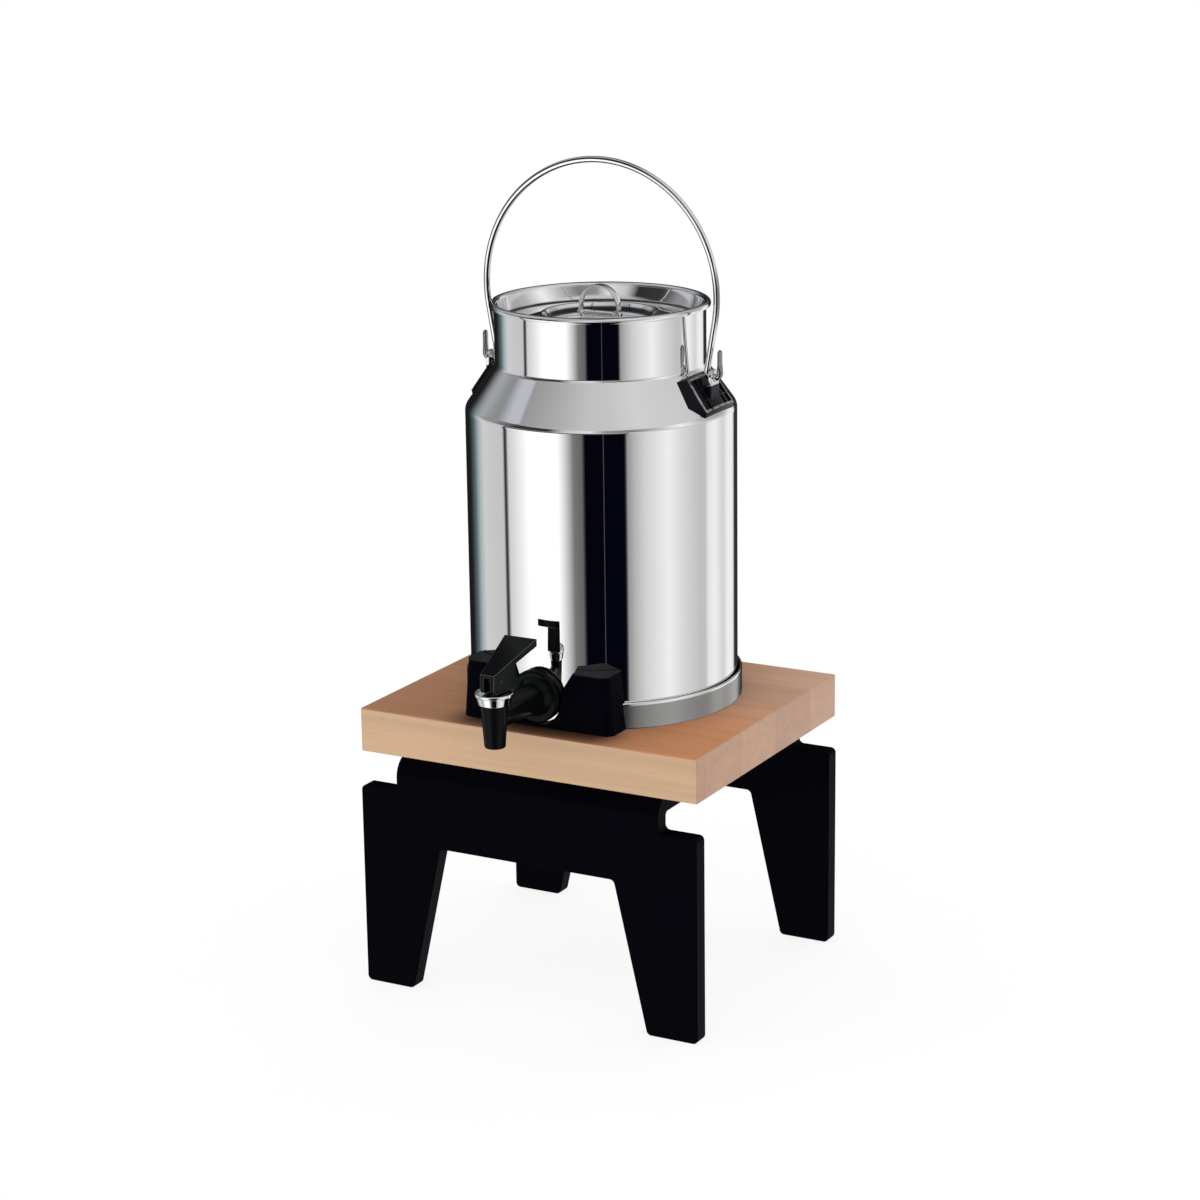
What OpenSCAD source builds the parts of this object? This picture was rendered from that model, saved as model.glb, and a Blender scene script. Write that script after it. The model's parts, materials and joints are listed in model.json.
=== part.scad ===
// Milk dispenser: a steel can with a lever tap, a lid and a bail, standing on a wooden board with legs.
// Millimetres, +Z up, the tap points to -Y. The origin lies on the floor, under the middle of it all.

/* [Board] */
// Width of the board, side to side
board_w = 250; // [230:1:320]
// Depth of the board, front to back
board_d = 209; // [200:1:260]
// Thickness of the board
board_t = 30; // [24:1:45]
// Radius of the board's eased edges
board_edge_r = 1.2; // [0.5:0.1:3]

/* [Leg frames] */
// Height of the board's underside above the floor
leg_h = 162; // [120:1:240]
// Thickness of the bent plate
leg_t = 12; // [6:0.5:16]
// Inside radius of the bend under the board
leg_bend_r = 2.5; // [1:0.5:8]
// How far a frame stands proud of the board's edge
leg_proud = 1.7; // [0:0.1:4]
// Inset of the frame's neck from the board's side
leg_neck_inset = 27.5; // [15:0.5:35]
// Drop from the board's underside to the shoulder of a leg
leg_shoulder_drop = 23; // [19:0.5:40]
// Drop from the board's underside to the apron's lower edge
apron_drop = 59.5; // [45:0.5:80]
// Width of a leg where it meets the apron
leg_top_w = 60; // [45:0.5:80]
// Width of a foot on the floor
foot_w = 36.5; // [20:0.5:44]
// Radius of the corners of the frame's outline
leg_corner_r = 3.5; // [1:0.5:6]
// Depth of a frame's flange under the board, from its outer face
leg_flange_l = 52; // [44:1:80]

/* [Foot ring] */
// Thickness of the ring's wall and floor
ring_wall = 1.2; // [0.8:0.1:2]
// Height of the ring above the board
ring_h = 17.4; // [12:0.2:24]
// Gap between the ring and the can
ring_gap = 1.8; // [1:0.1:3]
// Radius of the rolled lip
ring_lip_r = 0.8; // [0.7:0.05:1.2]
// Width of the ring's floor, inwards from its outside
ring_floor_w = 22; // [20:0.5:30]
// Width of the opening at the front
ring_mouth_w = 100; // [80:1:104]

/* [Can] */
// Outside diameter of the body
can_d = 178.8; // [170:0.2:190]
// Thickness of the sheet
can_wall = 0.9; // [0.6:0.1:1.4]
// Height of the straight body
body_h = 194.7; // [120:0.1:260]
// Height of the sloping shoulder
shoulder_h = 27.9; // [25:0.1:34]
// Outside diameter of the neck
neck_d = 138.8; // [134:0.2:142]
// Height from the top of the shoulder to the middle of the rim's bead
neck_h = 38.6; // [30:0.1:60]
// Radius of the bend from the body to the shoulder
shoulder_r = 8; // [4:0.5:9]
// Radius of the bend from the shoulder to the neck
neck_bend_r = 5; // [3:0.5:8]
// Radius of the rim's bead
bead_r = 1.5; // [1.3:0.1:2]
// Height of the bottom plate above the can's foot
bottom_rise = 4; // [3.2:0.1:5]
// Thickness of the bottom plate
bottom_t = 1; // [0.6:0.1:1.5]
// How far the can's axis lies behind the middle of the board
can_set_back = 5; // [0:0.5:10]

/* [Ears] */
// Length of an ear plate down the shoulder
ear_l = 29; // [28.5:0.1:29.2]
// Width of an ear plate at its top
ear_top_w = 49; // [46:0.5:51]
// Width of an ear plate at its widest
ear_wide_w = 58; // [54:0.5:60]
// Width of an ear plate at its foot
ear_foot_w = 39; // [36:0.5:44]
// Thickness of an ear plate
ear_t = 1.8; // [1.2:0.1:2.2]
// Width across the raised rim at its top
ear_rim_top_w = 33; // [30:0.5:36]
// Width across the raised rim at its foot
ear_rim_foot_w = 36; // [33:0.5:38]
// Height of the raised rim on an ear plate
ear_rim_h = 1.4; // [0.8:0.1:1.6]
// Width of the raised rim's top
ear_rim_w = 1.4; // [1:0.1:1.6]
// Inset of the rim from the plate's top and foot
ear_bevel = 2.5; // [1:0.1:2.7]
// Distance of an ear plate's top from the neck, along the slope
ear_top_gap = 2.5; // [2.2:0.1:3]
// Thickness of an eye plate
eye_t = 2.6; // [2:0.1:2.8]
// Distance of an eye plate's middle from the neck
eye_out = 13.2; // [12.8:0.1:13.6]
// Drop of the eye below the top of the shoulder
eye_drop = 3.7; // [3:0.1:4.5]
// Metal around the eye
eye_ring_w = 3.2; // [2:0.1:4]
// Width of an eye plate at its foot
eye_foot_w = 18; // [14:0.5:22]

/* [Bail] */
// Diameter of the bail's wire
wire_d = 4.2; // [3.6:0.1:4.6]
// Height of the bow's middle line above the eyes
bail_h = 136; // [130:1:160]
// Angle by which the legs lean in towards the eyes
bail_lean = 10; // [8:0.5:11]
// Radius of the hook's bends
hook_r = 3; // [2.6:0.1:3.4]
// Length of the upturned tail above the eye
tail_l = 17.5; // [10:0.5:24]
// Gap between the wire and the eye
eye_gap = 0.3; // [0.25:0.05:0.6]

/* [Lid] */
// Thickness of the lid's sheet
lid_t = 0.7; // [0.5:0.05:0.9]
// Gap between the lid's lip and the can's bead
lip_gap = 0.35; // [0.3:0.05:0.5]
// Gap between the gutter at the foot of the lid's wall and the inside of the neck
gutter_gap = 5; // [3:0.1:10]
// Drop from the middle of the lip to the gutter
gutter_drop = 9.4; // [7:0.1:12]
// Rise of the lid's floor from the gutter to the sunken middle
floor_rise = 4.2; // [2:0.1:6]
// Diameter of the sunken middle
recess_d = 74.8; // [62:0.2:84]
// Depth of the sunken middle
recess_h = 4.8; // [3:0.1:6]
// Slope of the sunken middle's wall, sideways
recess_draft = 3.4; // [0.5:0.1:5]

/* [Lid handle] */
// Width of the handle across its feet
handle_w = 29; // [27.5:0.5:36]
// Height of the handle above its hinge
handle_h = 19.3; // [19:0.1:26]
// Width of the handle's strap
strap_w = 5.6; // [4.8:0.1:6.4]
// Thickness of the handle's strap
strap_t = 1.2; // [0.8:0.1:1.5]
// Diameter of the hinge pin
hinge_pin_d = 2.5; // [2:0.1:2.7]
// Diameter of the heads on the hinge pin
hinge_head_d = 4; // [3.4:0.1:4.6]
// Thickness of the heads on the hinge pin
hinge_head_t = 1.2; // [0.6:0.1:2]
// Length of the clip that holds the pin
clip_l = 22; // [16:0.5:23]
// Width of the clip's foot on the lid
clip_foot_w = 10; // [8:0.5:16]
// Thickness of the clip's sheet
clip_t = 0.9; // [0.6:0.05:1.1]
// Gap under the handle's feet
foot_gap = 0.4; // [0.3:0.05:0.8]

/* [Front bracket] */
// Width of the bracket on the board
bracket_w = 111; // [106:0.5:116]
// Width of the bracket at its top
bracket_top_w = 104; // [100:0.5:105]
// Height of the bracket
bracket_h = 39.5; // [34:0.5:46]
// Thickness of the bracket in front of the can
bracket_wall = 4; // [2.5:0.1:6]
// Gap between the bracket and the can
bracket_gap = 0.6; // [0.4:0.1:1]
// Gap between the notch and the tap's flange
notch_gap = 1.5; // [0.8:0.1:2]
// Width of the notch's mouth
notch_mouth_w = 56; // [46:0.5:60]
// Height above the tap's axis where the notch starts to widen
notch_straight_h = 5.5; // [3:0.1:9]
// Radius of the bracket's upright corners
bracket_corner_r = 2; // [1:0.5:3]

/* [Tap] */
// Height of the tap's axis above the can's foot
tap_axis_h = 19.3; // [18.6:0.1:24]
// Distance of the spout from the can's wall
tap_reach = 56.6; // [48:0.2:70]
// Diameter of the flange
flange_d = 35.4; // [32:0.2:36]
// Thickness of the flange
flange_t = 5; // [3:0.1:6]
// Diameter of the flange's hub
hub_d = 26; // [23:0.5:29]
// Thickness of the flange's hub
hub_t = 4; // [3:0.1:6]
// Diameter of the shank through the can's wall
shank_d = 16; // [14:0.2:17]
// Length of the shank inside the can's wall
shank_l = 13; // [12.2:0.1:16]
// Diameter of the bore through the shank and the arm
inlet_d = 9; // [7:0.2:10]
// Diameter of the arm at the barrel
arm_front_d = 15; // [13:0.2:16]
// Diameter of the arm at the hub
arm_back_d = 20; // [18:0.2:22]
// Diameter of the barrel
barrel_d = 18; // [17:0.1:19]
// Diameter of the spout's tip
tip_d = 13.5; // [12.8:0.1:15]
// Height of the bonnet's lower edge above the tap's axis
spout_rise = 9.5; // [9:0.1:12]
// Drop of the spout's tip below the tap's axis
spout_drop = 19.5; // [17:0.1:30]
// Diameter of the chamber in the barrel
chamber_d = 12; // [11:0.1:12.4]
// Diameter of the outlet
outlet_d = 8; // [7:0.1:8.4]
// Drop of the valve's seat below the tap's axis
seat_drop = 7.5; // [6:0.1:8.5]
// Thickness of the outer gasket in front of the can's wall
gasket_t = 1.6; // [1:0.1:2.5]
// Diameter of the gaskets
gasket_d = 33; // [28:0.5:34]
// Thickness of the inner gasket inside the can's wall
inner_gasket_t = 2.6; // [2.4:0.1:3.2]
// Diameter of the inner gasket
inner_gasket_d = 27; // [24:0.5:28]
// Width of the lock nut across its flats
nut_w = 26; // [22:0.5:27]
// Thickness of the lock nut
nut_t = 8; // [5:0.5:8.5]
// Diameter of the bonnet ring
bonnet_d = 25; // [23.6:0.2:26]
// Diameter of the bonnet ring at its foot
bonnet_foot_d = 21.6; // [20.6:0.1:23]
// Height of the bonnet ring
bonnet_h = 7.5; // [6.5:0.1:9]
// Thickness of the bonnet's top
bonnet_t = 1.5; // [1:0.1:2]
// Diameter of the valve's stem
stem_d = 5; // [4:0.1:5.2]
// Gap round the stem, in the bonnet and in the lever's fork
stem_gap = 0.3; // [0.25:0.05:0.5]
// Diameter of the plug at the foot of the seat cup
plug_d = 10.6; // [10:0.1:10.8]

/* [Lever] */
// Width of the lever's fork at its toe
fork_w = 10; // [9:0.1:12]
// Width of the slot between the fork's cheeks
fork_slot_w = 5.2; // [4.6:0.1:6]
// Height of the lever's pin above the bonnet
lever_pin_h = 7.5; // [7:0.1:9]
// Diameter of the lever's pin
lever_pin_d = 3; // [2:0.1:3.2]
// Reach of the lever's toe in front of the pin
toe_l = 9; // [8.6:0.1:10]
// Radius of the lever's toe
toe_r = 4; // [3.8:0.1:5]
// Reach of the lever's heel behind the pin
heel_l = 15; // [14:0.1:17]
// Reach of the lever's brow in front of the pin
brow_l = 8; // [6:0.1:8.4]
// Height of the lever's brow above the pin
brow_h = 5.5; // [5.2:0.1:7]
// Radius of the lever's brow
brow_r = 1; // [0.5:0.1:2]
// Radius of the lever's small edges
lever_edge_r = 0.4; // [0.2:0.1:1]
// Reach of the bend behind the pin, where the heel ends and the paddle starts
kink_l = 13.4; // [12:0.1:14.5]
// Height of the paddle's underside at the bend, above the pin
kink_h = 8.6; // [7.5:0.1:9.4]
// Reach of the paddle's end behind the pin
paddle_l = 35; // [28:0.1:40]
// Height of the paddle's end above the pin
paddle_h = 20; // [16:0.1:28]
// Thickness of the paddle's end
paddle_t = 4.8; // [3.5:0.1:6]
// Width of the paddle's end
paddle_w = 24; // [18:0.2:30]
// Gap under the lever's foot
lever_gap = 0.3; // [0.25:0.05:0.5]

/* [Screws] */
// Diameter of the screws under the flanges
leg_screw_d = 5; // [4:0.1:6]
// Depth of those screws in the board
leg_screw_bite = 18; // [12:0.5:20]
// Inset of those screws from a frame's outer face
leg_screw_in = 33; // [30:0.5:36]
// Diameter of the screws in the foot ring
ring_screw_d = 4; // [3:0.1:4.5]
// Depth of those screws in the board
ring_screw_bite = 14; // [10:0.5:18]
// Inset of those screws from the ring's outside
ring_screw_in = 13.4; // [11:0.2:15]
// Thickness of the heads of those screws
ring_head_t = 1.8; // [1.2:0.1:2]
// Diameter of the screws in the bracket
bracket_screw_d = 4; // [3:0.1:5]
// Depth of those screws in the bracket
bracket_screw_bite = 14; // [10:0.5:20]
// Depth of the recess for their heads, under the board
bracket_screw_sink = 14; // [8:0.5:18]
// Distance between the bracket's two screws
bracket_screw_gap = 82; // [76:0.5:88]
// Thickness of a pan head
head_t = 3; // [2:0.1:3.6]

/* [Hidden] */
$fn = 96;
// Facets of the wide rounds that thin pieces lie against
fine_fn = 360;

// Overrun of every cut past the face that it opens
cut = 1;
// Clearance of a fixed pin or screw in its hole, to each side
fix_gap = 0.05;
// Clearance of a turning pin in its hole, to each side
run_gap = 0.06;
// How far a straight run of wire reaches into a bend, and how much thinner it is there
weld_l = 0.3;
weld_step = 0.03;
// Thickness of the flat outlines that a sloping shape joins
skin = 0.01;
// Steps in a bend of an outline
bend_steps = 6;

// Share of an ear plate's length where it is widest
ear_wide_share = 0.64;
// Places of the screws along a flange, as shares of the frame's half neck
leg_screw_shares = [-0.72, 0, 0.72];
// Diameter of a pan head as a share of its screw's diameter
head_share = 1.8;
// Width and depth of a screw's hexagon socket as shares of its screw's diameter and its head
socket_shares = [0.75, 0.6];
// Angles of the screws around the foot ring
ring_screw_angles = [90, 210, 330];

// Heights
board_top = leg_h + board_t;
can_base = board_top + ring_wall;
shoulder_z = can_base + body_h;
neck_z = shoulder_z + shoulder_h;
bead_z = neck_z + neck_h;
tap_z = can_base + tap_axis_h;

// Radii of the can and of what goes round it
can_r = can_d / 2;
neck_r = neck_d / 2;
ring_r = can_r + ring_gap + ring_wall;
bead_mid_r = neck_r - can_wall + bead_r;

// Places along Y: the whole is centred between the bonnet's front and the rear frame's back
can_to_spout = can_r + tap_reach;
board_y = (can_to_spout - can_set_back + bonnet_d / 2 - board_d / 2 - leg_proud) / 2;
can_y = board_y + can_set_back;
spout_y = can_y - can_to_spout;

// Heights within the tap
bonnet_z = tap_z + spout_rise;
bonnet_top = bonnet_z + bonnet_h;
lever_pin_z = bonnet_top + lever_pin_h;
seat_z = tap_z - seat_drop;
cup_flange_t = bonnet_t * 2 / 3;
barrel_top = bonnet_top - bonnet_t - cup_flange_t - 2 * fix_gap;
stem_head_r = lever_pin_d / 2 + stem_d * 2 / 5;
lever_pin_w = fork_w + (paddle_w - fork_w) * (toe_l - lever_pin_d / 2) / (toe_l + paddle_l);

// Slope of the shoulder, from the upright
shoulder_slope = atan((can_r - neck_r) / shoulder_h);
shoulder_l = norm([can_r - neck_r, shoulder_h]);

// Height of the seam between the can's body and its top, just under the shoulder's bend
seam_h = body_h - shoulder_r * tan(shoulder_slope / 2) - can_wall;

// The eye and the wire that hooks through it
eye_z = neck_z - eye_drop;
eye_x = neck_r + eye_out;
eye_r = wire_d / 2 + eye_gap;
eye_up = eye_z - can_base;
hook_x = eye_x - eye_t / 2 - eye_gap;
leg_foot_x = hook_x - hook_r * cos(bail_lean);
leg_foot_z = hook_r * (1 + sin(bail_lean));
bow_r = (leg_foot_x + (bail_h - leg_foot_z) * tan(bail_lean))
    / (cos(bail_lean) + tan(bail_lean) * (1 + sin(bail_lean)));
bow_z = bail_h - bow_r;
tail_x = eye_x + eye_t / 2 + eye_gap + hook_r;
run_d = wire_d - 2 * weld_step;

// The lid and its handle
lip_r = bead_r + lip_gap + lid_t;
gutter_r = neck_r - can_wall - gutter_gap;
lid_floor_z = bead_z - gutter_drop + floor_rise - recess_h;
hinge_z = lid_floor_z + strap_w / 2 + foot_gap;
handle_r = handle_w / 2;

// Outlines

// Unit vector
function unit(v) = v / norm(v);

// Arc of a corner q between its neighbours p and s
function bend(p, q, s, r) =
    let (u = unit(p - q), v = unit(s - q), half = acos(u * v) / 2)
    let (mid = q + unit(u + v) * r / sin(half), a = q + u * r / tan(half), b = q + v * r / tan(half))
    [for (i = [0:bend_steps]) mid + unit(a + (b - a) * i / bend_steps - mid) * r];

// Closed outline with each corner rounded by its radius
function rounded(pts, radii) = let (n = len(pts))
    [for (i = [0:n - 1]) each
        radii[i] > 0 ? bend(pts[(i + n - 1) % n], pts[i], pts[(i + 1) % n], radii[i]) : [pts[i]]];

// Open path with its inner corners rounded
function rounded_path(pts, radii) = let (n = len(pts))
    [for (i = [0:n - 1]) each
        i > 0 && i < n - 1 && radii[i] > 0 ? bend(pts[i - 1], pts[i], pts[i + 1], radii[i]) : [pts[i]]];

// Left-hand normal of the stretch from p to q
function left_of(p, q) = let (d = unit(q - p)) [-d[1], d[0]];

// Open path moved to its left by t, with mitred corners
function moved(path, t) = let (n = len(path))
    [for (i = [0:n - 1])
        let (a = left_of(path[max(i - 1, 0)], path[max(i, 1)]))
        let (b = left_of(path[min(i, n - 2)], path[min(i + 1, n - 1)]))
        path[i] + (a + b) * t / (1 + a * b)];

// Closed section of a sheet of thickness t, on the left of a path
function sheet(path, t) = let (m = moved(path, t))
    concat(path, [for (i = [len(m) - 1:-1:0]) m[i]]);

// Half outline with its mirror image, for a shape that is alike on both sides of the upright axis
function both_sides(pts) = concat(pts, [for (i = [len(pts) - 1:-1:0]) [-pts[i][0], pts[i][1]]]);

// Points of an arc
function arc(mid, r, from, to) =
    let (n = 2 * bend_steps)
    [for (i = [0:n]) let (a = from + (to - from) * i / n) mid + r * [cos(a), sin(a)]];

// Shared shapes

// Solid with a profile in Y and Z, carried along X about the middle
module across(w) {
    rotate([90, 0, 90])
    linear_extrude(height = w, center = true)
    children();
}

// Solid with an outline in X and Z, carried along Y to the front
module to_front(l) {
    rotate([90, 0, 0])
    linear_extrude(height = l)
    children();
}

// Round bar along X, about the middle
module bar_x(r, l) {
    rotate([0, 90, 0])
    cylinder(r = r, h = l, center = true);
}

// Round bar along Y, to the front
module bar_front(r, l) {
    rotate([90, 0, 0])
    cylinder(r = r, h = l);
}

// Pan-head screw that points up, with the underside of its head at the origin
module screw(d, l, head_h) {
    difference() {
        union() {
            cylinder(d = d, h = l);
            translate([0, 0, -head_h])
            cylinder(d = d * head_share, h = head_h);
        }
        translate([0, 0, -head_h - cut])
        cylinder(d = d * socket_shares[0], h = head_h * socket_shares[1] + cut, $fn = 6);
    }
}

// Carries its children to the can's axis, at the height of the can's foot
module at_can() {
    translate([0, can_y, can_base])
    children();
}

// Carries its children to the middle of the can's front wall, on the tap's axis
module at_can_front() {
    translate([0, can_y - can_r, tap_z])
    children();
}

// Carries its children to the spout's axis, at height z
module at_spout(z) {
    translate([0, spout_y, z])
    children();
}

// Places of the screws under both flanges
module each_leg_screw() {
    for (side = [-1, 1], share = leg_screw_shares)
        translate([
            share * (board_w / 2 - leg_neck_inset),
            board_y + side * (board_d / 2 + leg_proud - leg_screw_in),
            leg_h - leg_t
        ])
        children();
}

// Places of the screws in the foot ring's floor
module each_ring_screw() {
    for (a = ring_screw_angles)
        translate([
            (ring_r - ring_screw_in) * cos(a),
            can_y + (ring_r - ring_screw_in) * sin(a),
            board_top + ring_wall
        ])
        children();
}

// Places of the bracket's screws, under their heads
module each_bracket_screw() {
    front = can_r + bracket_gap + bracket_wall;
    x = bracket_screw_gap / 2;
    back = sqrt(pow(can_r + bracket_gap, 2) - x * x);
    for (side = [-1, 1])
        translate([side * x, can_y - (front + back) / 2, leg_h + bracket_screw_sink])
        children();
}

// Stand

// Board with eased edges: three rounded outlines crossed
module wood_board() {
    color("burlywood")
    difference() {
        translate([0, board_y, leg_h + board_t / 2])
        intersection() {
            linear_extrude(height = board_t, center = true)
            polygon(eased(board_w, board_d));
            across(board_w)
            polygon(eased(board_d, board_t));
            translate([0, board_d / 2, 0])
            to_front(board_d)
            polygon(eased(board_w, board_t));
        }
        each_leg_screw()
        cylinder(d = leg_screw_d + 2 * fix_gap, h = leg_t + leg_screw_bite + fix_gap);
        each_ring_screw()
        translate([0, 0, -ring_wall - ring_screw_bite - fix_gap])
        cylinder(d = ring_screw_d + 2 * fix_gap, h = ring_wall + ring_screw_bite + fix_gap + cut);
        each_bracket_screw() {
            cylinder(d = bracket_screw_d + 2 * fix_gap, h = board_t);
            translate([0, 0, -bracket_screw_sink - cut])
            cylinder(d = bracket_screw_d * head_share + 2 * fix_gap, h = bracket_screw_sink + cut);
        }
    }
}

// Rectangle about the middle with eased corners
function eased(w, h) = rounded(
    [[-w / 2, -h / 2], [w / 2, -h / 2], [w / 2, h / 2], [-w / 2, h / 2]],
    [for (i = [0:3]) board_edge_r]
);

// Outline of a leg frame seen from the front
function leg_outline() = let (
    half = board_w / 2,
    neck = half - leg_neck_inset,
    pts = [
        [neck, leg_h + cut], [neck, leg_h - leg_shoulder_drop], [half, leg_h - leg_shoulder_drop],
        [half, 0], [half - foot_w, 0], [half - leg_top_w, leg_h - apron_drop]
    ]
) rounded(both_sides(pts), [for (i = [0:11]) i == 0 || i == 11 ? 0 : leg_corner_r]);

// Bent plate: its profile from the side crossed with its outline from the front
module leg_frame() {
    bent = rounded_path([[0, 0], [0, leg_h], [leg_flange_l, leg_h]], [0, leg_bend_r + leg_t, 0]);
    intersection() {
        across(board_w)
        polygon(sheet(bent, -leg_t));
        translate([0, leg_flange_l, 0])
        to_front(leg_flange_l)
        polygon(leg_outline());
    }
}

// Holes for a frame's screws
module leg_holes() {
    each_leg_screw()
    translate([0, 0, -cut])
    cylinder(d = leg_screw_d + 2 * fix_gap, h = leg_t + 2 * cut);
}

module front_leg_frame() {
    color("black")
    difference() {
        translate([0, board_y - board_d / 2 - leg_proud, 0])
        leg_frame();
        leg_holes();
    }
}

module rear_leg_frame() {
    color("black")
    difference() {
        translate([0, board_y + board_d / 2 + leg_proud, 0])
        mirror([0, 1, 0])
        leg_frame();
        leg_holes();
    }
}

module leg_screws() {
    color("dimgray")
    each_leg_screw()
    screw(leg_screw_d, leg_t + leg_screw_bite, head_t);
}

// Dish with a rolled lip and an open front, where the tap passes
module foot_ring() {
    section = [[ring_r - ring_floor_w, 0], [ring_r, 0], [ring_r, ring_h - ring_lip_r]];
    color("darkgray")
    translate([0, can_y, board_top])
    difference() {
        union() {
            rotate_extrude()
            polygon(sheet(section, ring_wall));
            rotate_extrude()
            translate([ring_r - ring_lip_r, ring_h - ring_lip_r])
            circle(r = ring_lip_r);
        }
        translate([-ring_mouth_w / 2, -ring_r - cut, -cut])
        cube([ring_mouth_w, ring_r + cut, ring_h + 2 * cut]);
        translate([0, -can_y, -board_top])
        each_ring_screw()
        translate([0, 0, -ring_wall - cut])
        cylinder(d = ring_screw_d + 2 * fix_gap, h = ring_wall + 2 * cut);
    }
}

module ring_screws() {
    color("dimgray")
    each_ring_screw()
    mirror([0, 0, 1])
    screw(ring_screw_d, ring_wall + ring_screw_bite, ring_head_t);
}

// Saddle in front of the can: its front outline, cut to the can, to the ring and round the tap's flange
module front_bracket() {
    front = can_r + bracket_gap + bracket_wall;
    half = bracket_w / 2;
    screw_l = board_t - bracket_screw_sink + bracket_screw_bite;
    notch_r = flange_d / 2 + notch_gap;
    axis_z = tap_z - board_top;
    outer = [
        [-half, 0], [half, 0],
        [bracket_top_w / 2, bracket_h], [-bracket_top_w / 2, bracket_h]
    ];
    notch = [
        [notch_r, axis_z], [notch_r, axis_z + notch_straight_h],
        [notch_mouth_w / 2, bracket_h], [notch_mouth_w / 2, bracket_h + cut]
    ];
    color([0.12, 0.12, 0.14])
    translate([0, can_y, board_top])
    difference() {
        intersection() {
            to_front(front)
            polygon(outer);
            linear_extrude(height = bracket_h)
            polygon(rounded(
                [[-half, 0], [-half, -front], [half, -front], [half, 0]],
                [0, bracket_corner_r, bracket_corner_r, 0]
            ));
        }
        translate([0, 0, -cut])
        cylinder(r = can_r + bracket_gap, h = bracket_h + 2 * cut);
        translate([0, 0, -cut])
        ring_room(ring_h + cut + bracket_gap);
        translate([-half, -can_r * cos(asin(half / can_r)), -cut])
        cube([bracket_w, can_r, bracket_h + 2 * cut]);
        translate([0, 0, axis_z])
        bar_front(notch_r, front + cut);
        to_front(front + cut)
        polygon(both_sides(notch));
        translate([0, -can_y, -board_top])
        each_bracket_screw()
        cylinder(d = bracket_screw_d + 2 * fix_gap, h = screw_l + fix_gap);
    }
}

// Room that the foot ring's two ends need in the bracket
module ring_room(h) {
    difference() {
        cylinder(r = ring_r + fix_gap, h = h);
        translate([-ring_mouth_w / 2 + fix_gap, -ring_r - cut, -cut])
        cube([ring_mouth_w - 2 * fix_gap, ring_r + cut, h + 2 * cut]);
    }
}

module bracket_screws() {
    color("dimgray")
    each_bracket_screw()
    screw(bracket_screw_d, board_t - bracket_screw_sink + bracket_screw_bite, head_t);
}

// Can

// Straight wall, bored for the tap's shank
module can_body() {
    color("silver")
    at_can()
    difference() {
        rotate_extrude()
        translate([can_r - can_wall, 0])
        square([can_wall, seam_h]);
        translate([0, 0, tap_axis_h])
        bar_front(shank_d / 2 + run_gap, can_r + cut);
    }
}

// Outside of the can's top, from the seam to the middle of the bead
function can_top_path() = rounded_path(
    [[can_r, seam_h], [can_r, body_h], [neck_r, neck_z - can_base], [neck_r, bead_z - can_base]],
    [0, shoulder_r, neck_bend_r, 0]
);

// Shoulder, neck and rolled bead in one drawn piece
module can_top() {
    color("silver")
    at_can() {
        rotate_extrude()
        polygon(sheet(can_top_path(), can_wall));
        rotate_extrude()
        translate([bead_mid_r, bead_z - can_base])
        circle(r = bead_r);
    }
}

module can_bottom() {
    r = can_r - can_wall - fix_gap;
    h = bottom_rise + bottom_t;
    color("silver")
    at_can()
    rotate_extrude()
    polygon(sheet(
        rounded_path([[r, 0], [r, h], [0, h]], [0, 2 * bottom_t, 0]),
        bottom_t
    ));
}

// Everything within the shoulder's cone, pushed out square to the slope by t
module shoulder_core(t) {
    out = t / cos(shoulder_slope);
    over = shoulder_l;
    step = over * [sin(shoulder_slope), -cos(shoulder_slope)];
    rotate_extrude()
    polygon([
        [0, body_h - over], [can_r + out + step[0], body_h - over],
        [can_r + out + step[0], body_h + step[1]],
        [neck_r + out, body_h + shoulder_h], [0, body_h + shoulder_h]
    ]);
}

// Outline of an ear plate, down the slope from its top edge
module ear_outline() {
    wide = ear_l * ear_wide_share;
    polygon([
        [0, -ear_top_w / 2], [wide, -ear_wide_w / 2], [ear_l, -ear_foot_w / 2],
        [ear_l, ear_foot_w / 2], [wide, ear_wide_w / 2], [0, ear_top_w / 2]
    ]);
}

// Outline of the raised rim on an ear plate, drawn in by an inset
module ear_rim_outline(inset) {
    top = ear_bevel + inset;
    foot = ear_l - ear_bevel - inset;
    top_y = ear_rim_top_w / 2 - inset;
    foot_y = ear_rim_foot_w / 2 - inset;
    polygon([[top, -top_y], [foot, -foot_y], [foot, foot_y], [top, top_y]]);
}

// Carries its children onto the shoulder's right side, with X down the slope and Z out of it
module on_shoulder() {
    translate([neck_r, 0, body_h + shoulder_h])
    rotate([0, 90 - shoulder_slope, 0])
    translate([ear_top_gap, 0, 0])
    children();
}

// Plate that follows the shoulder, with sloping flanks and a raised rim
module ear_plate() {
    dip = pow(ear_wide_w, 2) / (8 * can_r);
    top = ear_t + ear_rim_h;
    at_can()
    difference() {
        intersection() {
            shoulder_core(top);
            on_shoulder()
            hull() {
                translate([0, 0, -dip])
                linear_extrude(height = skin)
                ear_outline();
                translate([0, 0, top])
                linear_extrude(height = skin)
                ear_rim_outline(0);
            }
        }
        shoulder_core(0);
        difference() {
            on_shoulder()
            translate([0, 0, -dip])
            linear_extrude(height = dip + top + cut)
            ear_rim_outline(ear_rim_w);
            shoulder_core(ear_t);
        }
        eye_blank();
    }
}

// Upright plate with a round head, down to the face of the ear plate
module eye_blank() {
    head_r = eye_r + eye_ring_w;
    difference() {
        translate([eye_x, 0, 0])
        union() {
            translate([0, 0, eye_up])
            bar_x(head_r, eye_t);
            across(eye_t)
            polygon(both_sides([[head_r, eye_up], [eye_foot_w / 2, body_h]]));
        }
        shoulder_core(ear_t);
    }
}

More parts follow.
